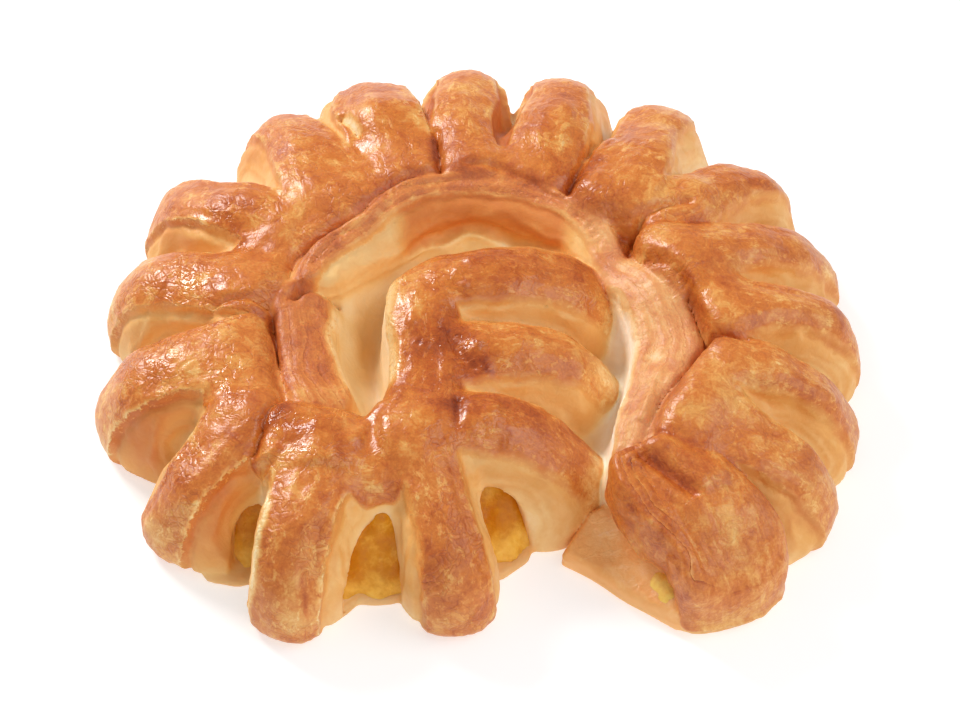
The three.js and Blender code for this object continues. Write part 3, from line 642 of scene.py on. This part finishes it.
# places the oven caught most; the spots on the creases of the coil, at C's base and on the strip's fold are partly
# painted shade: x, y, reach, amount
HOT = [(-5.0, -13.0, 5.0, 0.16), (-1.0, -20.5, 3.0, 0.16), (-4.5, -31.0, 4.0, 0.12), (33.0, -42.6, 4.5, 0.08), (4.0, 4.5, 9.0, 0.10), (22.0, 5.0, 6.0, 0.08), (-37.0, -33.0, 5.0, 0.08), (46.0, -27.0, 8.0, -0.10), (-2.5, 50.0, 9.0, -0.06), (31.0, 38.0, 9.0, 0.05),
       (-46.0, 13.5, 4.0, 0.12), (17.0, 24.0, 6.0, 0.10), (-10.0, 33.0, 5.0, 0.08), (10.0, -33.5, 7.0, 0.10), (-56.0, -40.0, 7.0, 0.05), (-8.6, -57.0, 8.0, 0.11), (-9.8, -20.4, 7.0, 0.11)]

# painted shade: cut faces turned away from the light, darkened in their colour: x, y, reach, amount
PAINTED_SHADE = [(-45.7, -44.7, 7.0, 0.16), (-59.2, -24.4, 7.0, 0.18), (-42.2, 40.4, 7.0, 0.06), (-54.2, 21.8, 7.0, 0.07)]

# edges and tears that show cream, and one strip that is partly a painted highlight: path, half-width, amount; spots are
# short paths
CREAM = [
 ([(-38.2,-41.0), (-36.9,-46.5), (-37.1,-51.4), (-38.0,-54.3), (-38.7,-57.5), (-39.3,-60.0), (-39.6,-61.5)], 0.6, 0.85),
 ([(-26.0,43.2), (-24.1,40.6), (-22.3,37.0)], 0.8, 1.0),
 ([(-26.4,-1.4), (-26.0,-4.5), (-27.2,-8.0), (-26.6,-11.5), (-25.2,-15.0), (-24.0,-18.5), (-22.8,-21.5)], 1.0, 0.7),
 # the coil's left wall: a pale layered edge, brightened as a painted highlight where the wall faces the light
 ([(-15.4,2.0), (-16.4,-4.8), (-16.4,-11.9), (-15.4,-18.9), (-16.4,-25.0)], 1.3, 0.75),
 ([(26.0,-50.6), (28.4,-52.6), (31.0,-54.4)], 0.35, 0.25),
 ([(30.5,-14.0), (31.5,-15.5), (32.6,-16.4)], 1.4, 0.8),
 ([(24.6,6.0), (27.2,7.0), (30.0,5.6)], 1.6, 0.45),
 ([(42.0,-49.0), (43.6,-53.0), (45.0,-57.5)], 1.5, 0.22),
]
# dough left nearly white
WHITE = [
 ([(27.0,-2.0), (26.6,-8.0), (25.9,-15.0), (24.8,-22.0), (23.2,-30.0), (22.0,-36.0)], 2.8, 0.28),
]
# lines drawn dark: blisters and streaks that baked dark, and on the strip's fold and the creases at C's base, by the
# left lip and at K's slot, browner dough with painted shade in the crease
DARK = [
 ([(0.9,-20.8), (2.7,-21.8)], 0.7, 0.14),
 ([(-11.0,-15.5), (-9.2,-16.5)], 0.7, 0.14),
 ([(-7.1,-12.8), (-5.3,-13.7)], 0.7, 0.12),
 ([(27.2,-39.4), (32.2,-43.0), (38.4,-48.4)], 1.1, 0.13),
 ([(-30.6,-61.0), (-30.2,-63.0), (-29.8,-65.0)], 0.35, 0.14),
 ([(-13.0,-52.0), (-10.5,-55.5), (-9.8,-60.0)], 0.4, 0.08),
 ([(-4.4,-27.2), (-4.0,-36.3)], 0.7, 0.16),
 ([(-36.9,-5.0), (-36.4,-10.0), (-35.2,-17.0), (-32.7,-26.1)], 0.5, 0.14),
 ([(-8.8,38.0), (-8.2,33.1), (-8.0,27.0)], 0.5, 0.16),
]
# places with a smooth, wet-looking glaze: x, y, reach
GLOSS = [(-8.0, -4.0, 9.0), (-6.0, -14.0, 9.0), (-7.0, -24.0, 9.0), (-9.0, -33.0, 7.0), (2.0, -33.0, 6.0), (3.0, -18.0, 6.0), (5.0, 2.0, 8.0), (-20.0, -36.0, 7.0), (-28.0, -35.0, 11.0), (-52.7, 2.6, 9.0), (-59.0, -16.4, 7.0), (-46.0, -24.0, 7.0), (-33.4, -35.5, 6.0), (21.0, 31.0, 10.0), (-3.6, 2.6, 5.0), (-26.1, 31.1, 7.0), (-53.0, -36.0, 6.0), (-48.0, 14.0, 6.0), (38.0, -2.2, 4.0), (-13.0, 40.0, 6.0)]

def lines(table, V):
    out = np.zeros(len(V))
    for pts, w, k in table:
        lo, hi = np.min(pts, axis=0) - 6, np.max(pts, axis=0) + 6
        m = np.all((V[:, :2] > lo) & (V[:, :2] < hi), axis=1)
        d, side, taper = drawn(pts, V[m, 0], V[m, 1])
        out[m] = np.maximum(out[m], k * taper * np.exp(-(d / w) ** 2))
    return out

def baking_and_painted_light(V, f):
    """How far the skin, and the dough where it is cut, are baked: 0 raw cream, 1 dark brown. Painted shade and painted
    light are worked into both.
    """
    lip, pale, flap, layer = f['lip'], f['pale'], f['flap'], f['layer']
    # the flap's skin is paler: partly its own lighter bake, partly painted light, as the flap lies in shade under the
    # strip's end
    skin = 0.55 - 0.09 * smooth(f['t'], 0.80, 1.05) - lip * (0.03 + 0.07 * smooth(V[:, 0], 10.0, 24.0) - 0.06 * smooth(-V[:, 0], 24.0, 27.0)) - 0.20 * flap + 0.07 * fbm(V, 16.0, 2, 141) + 0.05 * fbm(V, 5.0, 2, 151)
    for x, y, r, k in HOT:
        skin += k * np.exp(-((V[:, 0] - x) ** 2 + (V[:, 1] - y) ** 2) / (r * r))
    # dark lines, paler coil tips, and darker seams where finger groups meet: browner dough, partly painted shade in the
    # creases
    skin += lines(DARK, V) - 0.26 * f['tip'] + 0.13 * f['seam'] * (1 - lip) + 0.06 * f['seam'] * lip
    skin += (0.06 * lip + 0.10 * banded(f)) * saw(plies(V, f), 0.3)
    inside = 0.36 - 0.17 * smooth(layer, 0.8, 7.0) - 0.16 * lip * smooth(V[:, 0], 20.0, 25.0) * (1 - smooth(V[:, 1], 0.0, 6.0)) + 0.04 * fbm(V, 6.0, 2, 161) - 0.05 * lip + leaves(V, layer, 0.04, 0.05)
    inside += 0.07 * smooth(f['t'], 0.80, 1.02) - 0.07 * (1 - smooth(V[:, 2], 2.0, 8.0)) * (1 - lip)
    # painted shade on the cut faces turned away from the light
    for x, y, r, k in PAINTED_SHADE:
        inside += k * np.exp(-((V[:, 0] - x) ** 2 + (V[:, 1] - y) ** 2) / (r * r))
    # pale dough inside; the whiter spot at x -19, y -16 is partly pale dough and partly a painted highlight, where the
    # coil's left wall faces the light
    deep = 0.21 + 0.04 * fbm(V, 8.0, 2, 171) - 0.14 * np.exp(-((V[:, 0] + 19) / 2.6) ** 2 - ((V[:, 1] + 16) / 6.0) ** 2)
    # on the back wall: a paler ragged edge, and above it browner dough with painted shade in the recess under the back
    # lip
    dz, back = ledge(V, f)
    edge = back * (0.19 * smooth(dz, 0.1, 0.5) - 0.08 * np.exp(-(dz / 0.75) ** 2) + 0.03)
    return skin, np.maximum(pale * deep + (1 - pale) * inside + edge - lines(WHITE, V), 0.0)

def paste_tint_and_hollow_shade(V, f):
    """Orange-yellow tint: on bare dough next to the paste, and as golden painted shade on pale dough low in the hollow
    and by the coil's left wall.
    """
    near = np.exp(-np.clip(f['paste'], 0, 60) / 0.9)
    # golden painted shade: low in the hollow, and on the hollow floor by the coil's left wall
    deep = f['pale'] * (1 - smooth(V[:, 2], 5.0, 12.0))
    deep = deep + 0.7 * f['pale'] * np.exp(-((V[:, 0] + 19.5) / 3.5) ** 2 - ((V[:, 1] + 3.0) / 8.0) ** 2)
    return np.clip((1 - f['crust']) * (0.6 * near + 0.5 * deep), 0, 1)

# ================================================================ meshes
def mesh_from(name, V, Q):
    """V in mm. Quads, or triangles if Q has three columns."""
    me = bpy.data.meshes.new(name)
    k = Q.shape[1]
    me.vertices.add(len(V)); me.vertices.foreach_set('co', (V * 0.001).astype(np.float32).ravel())
    me.loops.add(Q.size); me.loops.foreach_set('vertex_index', Q.astype(np.int32).ravel())
    me.polygons.add(len(Q)); me.polygons.foreach_set('loop_start', np.arange(0, Q.size, k, dtype=np.int32))
    me.update(calc_edges=True)
    me.validate()
    return me

def put(name, me):
    ob = bpy.data.objects.new(name, me)
    bpy.context.scene.collection.objects.link(ob)
    return ob

def thinned(ob, faces):
    """The object's mesh collapsed to about that many triangles."""
    me = ob.data
    tris = sum(len(p.vertices) - 2 for p in me.polygons)
    if tris <= faces:
        return
    mod = ob.modifiers.new('thin', 'DECIMATE')
    mod.ratio = faces / tris
    dg = bpy.context.evaluated_depsgraph_get()
    new = bpy.data.meshes.new_from_object(ob.evaluated_get(dg))
    ob.modifiers.clear()
    ob.data = new
    new.name = me.name
    bpy.data.meshes.remove(me)

def points(me):
    a = np.empty(len(me.vertices) * 3, np.float32)
    me.vertices.foreach_get('co', a)
    return a.reshape(-1, 3).astype(float) * 1000

def give(me, name, values):
    kind = 'FLOAT' if values.ndim == 1 else 'FLOAT_VECTOR'
    at = me.attributes.new(name, kind, 'POINT')
    at.data.foreach_set('value' if kind == 'FLOAT' else 'vector', values.astype(np.float32).ravel())

def smooth_shaded(me):
    me.polygons.foreach_set('use_smooth', np.ones(len(me.polygons), bool))
    me.update()

def flat_based(g):
    z = g.ax[2][None, None, :]
    g.D = np.maximum(g.D, -z).astype(np.float32)
    return g

STEP = 0.55
g = flat_based(dough_grid(STEP))
V, Q = surface_nets(g.D, g.ax)
N = vert_normals(V, Q)
f = surface_facts(V)
lift = relief(V, f)
keep = smooth(V[:, 2], 0.1, 1.2)
V = V + N * (lift * keep)[:, None]
V = eased(V, Q, N)
V[:, 2] = np.maximum(V[:, 2], 0)
dough = put('dough_skin', mesh_from('dough_skin', V + SHIFT, Q))
thinned(dough, 196000)
P = points(dough.data) - SHIFT
f = surface_facts(P)
skin, inside = baking_and_painted_light(P, f)
give(dough.data, 'skin_bake_and_painted_light', skin)
give(dough.data, 'cut_bake_and_painted_light', inside)
give(dough.data, 'paste_tint_and_hollow_shade', paste_tint_and_hollow_shade(P, f))
give(dough.data, 'cream', lines(CREAM, P))
give(dough.data, 'gloss', np.max([np.exp(-((P[:, 0] - x) ** 2 + (P[:, 1] - y) ** 2) / (r * r)) for x, y, r in GLOSS], axis=0))
give(dough.data, 'plies', plies(P, f))
give(dough.data, 'plied', f['own'] * (0.45 * f['lip'] + banded(f) * (1 - 0.8 * smooth(f['edge'], -1.6, -0.5))))
give(dough.data, 'leafy', np.clip(f['lip'] + f['strip'], 0, 1))
give(dough.data, 'tan', f['lip'] * (0.25 + 0.75 * smooth(P[:, 0], 10.0, 24.0)))
# the flap's own orange, pushed brighter as painted light, as the flap lies in shade under the strip's end and finger C
give(dough.data, 'flap_tone_and_painted_light', f['flap'])
for k in ('rim', 'lip', 'layer', 'own', 'soft'):
    give(dough.data, k, f[k])
give(dough.data, 'loc', np.stack([f['u'] - P[:, 2], f['v'], 7.3 * f['seed']], 1))     # runs on down over the noses
give(dough.data, 'drift', 1.5 * np.stack([fbm(P, 2.4, 2, 301), fbm(P, 2.4, 2, 311), fbm(P, 2.4, 2, 321)], 1))
give(dough.data, 'wild', (0.12 + 0.88 * smooth(fbm(P, 8.0, 2, 331), -0.16, 0.20)) * (1 - 0.4 * f['soft']) * (1 - 0.35 * smooth(P[:, 1], 20.0, 36.0)) * (1 - 0.45 * smooth(P[:, 0] - 0.5 * P[:, 1], 34.0, 50.0)))
smooth_shaded(dough.data)

g = flat_based(paste_grid(0.7))
V, Q = surface_nets(g.D, g.ax)
N = vert_normals(V, Q)
V = V + N * (0.35 * fbm(V, 5.0, 3, 201) + 0.12 * fbm(V, 1.6, 2, 211))[:, None]
V[:, 2] = np.maximum(V[:, 2], 0.2)
paste = put('paste_ribbon', mesh_from('paste_ribbon', V + SHIFT, Q))
thinned(paste, 40000)
P = points(paste.data) - SHIFT
# painted light on the paste: paler on the dab, which lies in shade under the strip's end, and paler low down in the
# cuts
give(paste.data, 'paste_painted_light', np.maximum(np.max([np.exp(-((P - np.array(c)) ** 2).sum(1) / 70.0) for c, r, o in DABS], axis=0), 0.50 * (1 - smooth(P[:, 2], 2.5, 7.0))))
smooth_shaded(paste.data)

# ================================================================ materials
def srgb(r, g, b):
    def lin(c):
        c /= 255.0
        return c / 12.92 if c <= 0.04045 else ((c + 0.055) / 1.055) ** 2.4
    return (lin(r), lin(g), lin(b), 1.0)

class Nodes:
    """Small helper to write node trees in a few lines."""
    def __init__(self, name):
        self.mat = bpy.data.materials.new(name)
        self.mat.use_nodes = True
        self.t = self.mat.node_tree
        self.t.nodes.clear()
        self.out = self.t.nodes.new('ShaderNodeOutputMaterial')
    def put(self, kind, inputs=None, **props):
        n = self.t.nodes.new(kind)
        for k, v in props.items():
            setattr(n, k, v)
        for k, v in (inputs or {}).items():
            self.set(n.inputs[k], v)
        return n
    def set(self, socket, v):
        if isinstance(v, bpy.types.NodeSocket):
            self.t.links.new(v, socket)
        else:
            socket.default_value = v
    def math(self, op, a, b=None, c=None, clamp=False):
        n = self.t.nodes.new('ShaderNodeMath')
        n.operation = op; n.use_clamp = clamp
        for i, v in enumerate((a, b, c)):
            if v is not None:
                self.set(n.inputs[i], v)
        return n.outputs[0]
    def add(self, a, b): return self.math('ADD', a, b)
    def mul(self, a, b): return self.math('MULTIPLY', a, b)
    def sub(self, a, b): return self.math('SUBTRACT', a, b)
    def attr(self, name, vector=False):
        n = self.put('ShaderNodeAttribute', attribute_name=name, attribute_type='GEOMETRY')
        return n.outputs['Vector' if vector else 'Fac']
    def scaled(self, vec, s):
        n = self.t.nodes.new('ShaderNodeVectorMath'); n.operation = 'MULTIPLY'
        self.set(n.inputs[0], vec); n.inputs[1].default_value = s if hasattr(s, '__len__') else (s, s, s)
        return n.outputs[0]
    def noise(self, vec, scale, detail=3.0, rough=0.55, dist=0.0):
        n = self.put('ShaderNodeTexNoise', {'Vector': vec, 'Scale': scale, 'Detail': detail, 'Roughness': rough, 'Distortion': dist})
        return n.outputs['Fac']
    def ramp(self, fac, stops, interp='LINEAR'):
        n = self.put('ShaderNodeValToRGB', {'Fac': fac})
        n.color_ramp.interpolation = interp
        e = n.color_ramp.elements
        while len(e) < len(stops):
            e.new(0.5)
        for s, (p, c) in zip(e, stops):
            s.position = p; s.color = c
        return n.outputs['Color']
    def remap(self, v, a, b, c, d):
        n = self.put('ShaderNodeMapRange', {'Value': v, 'From Min': a, 'From Max': b, 'To Min': c, 'To Max': d})
        n.clamp = True
        return n.outputs['Result']

def dough_material():
    m = Nodes('baked_dough')
    mm = m.scaled(m.put('ShaderNodeTexCoord').outputs['Object'], 1000.0)     # millimetres
    skin_bake_and_painted_light, cut_bake_and_painted_light, rim, lip, layer, own, tint_near_paste_and_shade, soft, cream, gloss, leafy, wild, tanned = (m.attr(k) for k in ('skin_bake_and_painted_light', 'cut_bake_and_painted_light', 'rim', 'lip', 'layer', 'own', 'paste_tint_and_hollow_shade', 'soft', 'cream', 'gloss', 'leafy', 'wild', 'tan'))
    loc = m.attr('loc', True)
    # drifted coordinates, so that nothing repeats or runs straight
    wv = m.put('ShaderNodeVectorMath', operation='ADD')
    m.set(wv.inputs[0], mm); m.set(wv.inputs[1], m.attr('drift', True))
    wmm = wv.outputs[0]
    n_patch = m.noise(wmm, 0.22, 3.0, 0.6)
    n_soft = m.noise(wmm, 0.34, 1.0, 0.5)
    n_fleck = m.noise(wmm, 0.85, 2.0, 0.62)
    n_fine = m.noise(mm, 2.2, 1.0, 0.6)
    n_fibre = m.noise(m.scaled(loc, (0.20, 1.1, 1.0)), 1.0, 2.0, 0.6)
    fibre = m.mul(m.mul(m.sub(n_fibre, 0.5), own), m.add(m.mul(leafy, 0.7), 0.3))
    # a cracked glaze: smooth cells with narrow valleys between them, in some places deep, in others none;
    # laid out in plan, with the sides unrolled outward
    xyz = m.put('ShaderNodeSeparateXYZ', {'Vector': wmm})
    x, y, z = xyz.outputs
    far = m.math('SQRT', m.add(m.add(m.mul(x, x), m.mul(y, y)), 225.0))
    k = m.math('DIVIDE', m.sub(22.0, z), far)
    flat = m.put('ShaderNodeCombineXYZ', {'X': m.add(x, m.mul(k, m.sub(x, m.mul(y, 0.7)))), 'Y': m.add(y, m.mul(k, m.add(y, m.mul(x, 0.7)))), 'Z': 0.0}).outputs[0]
    cell = m.put('ShaderNodeTexVoronoi', {'Vector': flat, 'Scale': 0.52}, feature='DISTANCE_TO_EDGE', voronoi_dimensions='2D').outputs['Distance']
    dome = m.put('ShaderNodeMapRange', {'Value': cell, 'From Min': 0.0, 'From Max': 0.40, 'To Min': 0.0, 'To Max': 1.0}, interpolation_type='SMOOTHSTEP').outputs['Result']
    crack = m.remap(cell, 0.0, 0.075, 1.0, 0.0)
    # crisp, slightly ragged edge between crust and cut face
    ragged = m.add(rim, m.add(m.mul(m.sub(n_fleck, 0.5), 0.9), m.mul(m.sub(n_fine, 0.5), 0.5)))
    width = m.add(m.mul(soft, 0.70), 0.06)
    skin = m.math('SUBTRACT', 0.5, m.math('DIVIDE', ragged, m.mul(width, 2.0)), clamp=True)
    bare = m.math('SUBTRACT', 1.0, skin)
    firm = m.math('SUBTRACT', 1.0, m.mul(soft, 0.8))
    under = m.mul(m.remap(ragged, 0.10, 0.75, 1.0, 0.0), bare)
    pale_line = m.mul(m.mul(m.remap(ragged, -0.55, -0.10, 0.0, 1.0), skin), firm)
    # browning in patches, leaves along the finger, flecks and a few bare flakes
    v = m.mul(m.sub(n_patch, 0.5), 0.44)
    v = m.add(v, m.mul(fibre, 0.22))
    v = m.add(v, m.mul(m.sub(n_fleck, 0.5), 0.19))
    v = m.add(v, m.mul(m.sub(n_fine, 0.5), 0.14))
    flake = m.mul(m.remap(m.noise(m.scaled(loc, (0.30, 0.62, 1.0)), 1.0, 3.0, 0.72), 0.56, 0.62, 0.0, 1.0), own)
    v = m.sub(v, m.mul(flake, m.remap(leafy, 0.0, 1.0, 0.09, 0.035)))
    v = m.add(v, m.mul(m.mul(crack, wild), 0.08))
    chips = m.mul(m.remap(n_soft, 0.54, 0.60, 0.0, 1.0), m.mul(m.remap(ragged, -1.2, -0.6, 0.0, 1.0), skin))
    v = m.sub(v, m.mul(m.mul(chips, firm), 0.10))
    v = m.sub(v, m.mul(pale_line, 0.12))
    # leaves side by side: a fine dark line under each step
    turn = m.math('FRACT', m.add(m.attr('plies'), m.mul(m.sub(n_fleck, 0.5), 0.35)))
    plied = m.mul(m.attr('plied'), m.remap(n_patch, 0.40, 0.60, 0.35, 1.0))
    v = m.add(v, m.mul(m.mul(m.remap(turn, 0.0, 0.16, 1.0, 0.0), plied), 0.17))
    v = m.sub(v, m.mul(m.mul(m.remap(turn, 0.72, 0.98, 0.0, 1.0), plied), 0.10))
    b_skin = m.add(skin_bake_and_painted_light, v)
    # soft bands that follow the leaves on the cut faces
    along = m.put('ShaderNodeCombineXYZ', {'X': m.mul(layer, 0.9), 'Y': 0.0, 'Z': 0.0})
    bv = m.put('ShaderNodeVectorMath', operation='ADD')
    m.set(bv.inputs[0], m.scaled(mm, 0.12)); m.set(bv.inputs[1], along.outputs[0])
    band = m.noise(bv.outputs[0], 1.0, 2.0, 0.6)
    b_cut = m.add(cut_bake_and_painted_light, m.add(m.mul(m.sub(band, 0.5), 0.06), m.mul(m.sub(n_fleck, 0.5), 0.06)))
    b_cut = m.add(b_cut, m.mul(under, 0.09))
    mb = m.put('ShaderNodeMix', {'Factor': skin}, data_type='FLOAT')
    m.set(mb.inputs['A'], b_cut); m.set(mb.inputs['B'], b_skin)
    # cream on ragged edges and tears, and a painted highlight on the coil's left wall
    torn_cream_and_highlight = m.mul(cream, m.remap(n_fleck, 0.32, 0.48, 0.55, 1.0))
    baked = m.add(mb.outputs['Result'], m.mul(m.sub(0.12, mb.outputs['Result']), torn_cream_and_highlight))
    colour = m.ramp(baked, [(0.00, srgb(255, 244, 220)), (0.14, srgb(252, 229, 186)), (0.27, srgb(242, 203, 138)), (0.40, srgb(228, 165, 88)),
                        (0.54, srgb(207, 119, 47)), (0.68, srgb(180, 87, 29)), (0.82, srgb(140, 56, 18)), (1.0, srgb(90, 33, 13))])
    # on bare dough: orange-yellow tint next to the paste, and golden painted shade in the hollow
    mix = m.put('ShaderNodeMix', data_type='RGBA', blend_type='MIX')
    m.set(mix.inputs[0], m.math('MULTIPLY', tint_near_paste_and_shade, bare, clamp=True)); m.set(mix.inputs[6], colour); mix.inputs[7].default_value = srgb(226, 154, 50)
    tan = m.put('ShaderNodeMix', data_type='RGBA', blend_type='MIX')
    m.set(tan.inputs[0], m.mul(m.mul(tanned, skin), 0.40)); m.set(tan.inputs[6], mix.outputs[2]); tan.inputs[7].default_value = srgb(226, 160, 116)
    # on the flap: a brighter orange, partly its own tone and partly painted light for the shade it lies in
    flap_tone_and_painted_light = m.put('ShaderNodeMix', data_type='RGBA', blend_type='MIX')
    m.set(flap_tone_and_painted_light.inputs[0], m.mul(m.attr('flap_tone_and_painted_light'), 0.6)); m.set(flap_tone_and_painted_light.inputs[6], tan.outputs[2]); flap_tone_and_painted_light.inputs[7].default_value = srgb(255, 180, 106)
    # relief in mm: a cracked glaze on the crust, soft crumb on the cut
    h_crust = m.mul(m.sub(m.mul(dome, 0.07), m.mul(crack, 0.03)), wild)
    h_crust = m.add(h_crust, m.mul(n_soft, 0.24))
    h_crust = m.add(h_crust, m.mul(fibre, 0.16))
    h_crust = m.add(h_crust, m.mul(n_fleck, 0.10))
    h_crust = m.add(h_crust, m.mul(flake, 0.03))
    h_crust = m.add(h_crust, m.mul(m.mul(m.remap(turn, 0.0, 0.12, 0.0, 1.0), m.math('SUBTRACT', 1.0, turn)), m.mul(plied, -0.22)))
    h_crust = m.add(h_crust, m.mul(n_fine, 0.042))
    h_cut = m.add(m.mul(n_fleck, 0.08), m.add(m.mul(n_fine, 0.02), m.mul(band, 0.06)))
    mixh = m.put('ShaderNodeMix', {'Factor': skin}, data_type='FLOAT')
    m.set(mixh.inputs['A'], h_cut); m.set(mixh.inputs['B'], h_crust)
    bump = m.put('ShaderNodeBump', {'Strength': 1.0, 'Distance': 0.001, 'Height': mixh.outputs['Result']})
    wet = m.mul(m.mul(gloss, skin), m.remap(n_soft, 0.36, 0.56, 0.3, 1.0))
    rough = m.remap(skin, 0.0, 1.0, 0.54, 0.37)
    rough = m.sub(rough, m.mul(wet, 0.23))
    rough = m.add(rough, m.mul(m.sub(n_patch, 0.5), 0.24))
    rough = m.add(rough, m.mul(flake, 0.08))
    rough = m.add(rough, m.mul(lip, 0.12))
    p = m.put('ShaderNodeBsdfPrincipled', {'Base Color': flap_tone_and_painted_light.outputs[2], 'Roughness': rough, 'Normal': bump.outputs['Normal'], 'IOR': 1.5, 'Specular IOR Level': 0.50,
                                           'Subsurface Weight': 0.18, 'Subsurface Radius': (1.0, 0.42, 0.16), 'Subsurface Scale': 0.0020})
    p.subsurface_method = 'BURLEY'
    m.t.links.new(p.outputs[0], m.out.inputs['Surface'])
    return m.mat

def paste_material():
    m = Nodes('chestnut_paste')
    mm = m.scaled(m.put('ShaderNodeTexCoord').outputs['Object'], 1000.0)
    n1 = m.noise(mm, 0.25, 3.0, 0.6, 0.3)
    n2 = m.noise(mm, 1.1, 2.0, 0.6)
    # paste made paler where painted light is given, on the dab and low in the cuts
    c = m.ramp(m.add(m.add(m.mul(n1, 0.75), m.mul(n2, 0.25)), m.mul(m.attr('paste_painted_light'), 0.48)), [(0.25, srgb(190, 104, 0)), (0.5, srgb(209, 133, 9)), (0.75, srgb(241, 183, 70)), (1.0, srgb(255, 217, 112))])
    bump = m.put('ShaderNodeBump', {'Strength': 1.0, 'Distance': 0.00025, 'Height': m.add(m.mul(n1, 0.6), m.mul(n2, 0.8))})
    p = m.put('ShaderNodeBsdfPrincipled', {'Base Color': c, 'Roughness': m.remap(n2, 0.2, 0.8, 0.34, 0.5), 'Normal': bump.outputs['Normal'], 'IOR': 1.42, 'Specular IOR Level': 0.35,
                                           'Subsurface Weight': 0.35, 'Subsurface Radius': (1.0, 0.55, 0.12), 'Subsurface Scale': 0.0008})
    p.subsurface_method = 'BURLEY'
    m.t.links.new(p.outputs[0], m.out.inputs['Surface'])
    return m.mat

dough.data.materials.append(dough_material())
paste.data.materials.append(paste_material())
for ob, node in ((dough, 'dough'), (paste, 'filling')):
    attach(ob, 'root')
    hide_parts(node)

# ================================================================ floor, light, camera
def plain(name, colour, rough):
    mat = bpy.data.materials.new(name)
    mat.use_nodes = True
    b = mat.node_tree.nodes['Principled BSDF']
    b.inputs['Base Color'].default_value = colour
    b.inputs['Roughness'].default_value = rough
    b.inputs['Specular IOR Level'].default_value = 0.1
    b.inputs['Emission Color'].default_value = (1, 1, 1, 1)
    b.inputs['Emission Strength'].default_value = 0.50
    return mat

bpy.ops.mesh.primitive_plane_add(size=6.0, location=(0, 0, -0.0002))
floor = bpy.context.object
floor.name = 'floor'
floor.data.materials.append(plain('pale_floor', (0.66, 0.66, 0.66, 1), 0.8))

def softbox(name, loc, target, size, power, colour=(1, 1, 1)):
    from mathutils import Vector
    li = bpy.data.lights.new(name, 'AREA')
    li.shape = 'RECTANGLE'; li.size, li.size_y = size
    li.energy = power; li.color = colour
    ob = bpy.data.objects.new(name, li)
    ob.location = loc
    ob.rotation_euler = (Vector(target) - Vector(loc)).to_track_quat('-Z', 'Y').to_euler()
    bpy.context.scene.collection.objects.link(ob)
    return ob

softbox('key', (-0.54, 0.58, 0.58), (0, 0, 0), (0.28, 0.28), 7.8)
softbox('fill', (0.85, -0.15, 0.85), (0, 0, 0), (0.9, 0.9), 5.8)
softbox('front', (0.18, -1.0, 0.65), (0, 0, 0), (0.8, 0.6), 2.6)
world = bpy.data.worlds.new('studio')
bpy.context.scene.world = world
world.use_nodes = True
world.node_tree.nodes['Background'].inputs['Color'].default_value = (1, 1, 1, 1)
world.node_tree.nodes['Background'].inputs['Strength'].default_value = 0.40

E, DIST, TARGET = math.radians(50), 0.700, (0.0, -0.0075 + 0.00055, 0.010)
cam = bpy.data.cameras.new('camera')
cam.sensor_width = 36.0
cam.lens = 5.49 * 700 / 960 * 36.0
cam.clip_start, cam.clip_end = 0.01, 20
co = bpy.data.objects.new('camera', cam)
co.location = (TARGET[0], TARGET[1] - DIST * math.cos(E), TARGET[2] + DIST * math.sin(E))
co.rotation_euler = (math.pi / 2 - E, 0, 0)
bpy.context.scene.collection.objects.link(co)
bpy.context.scene.camera = co
bpy.context.scene.view_settings.view_transform = 'Standard'

bpy.context.view_layer.update()
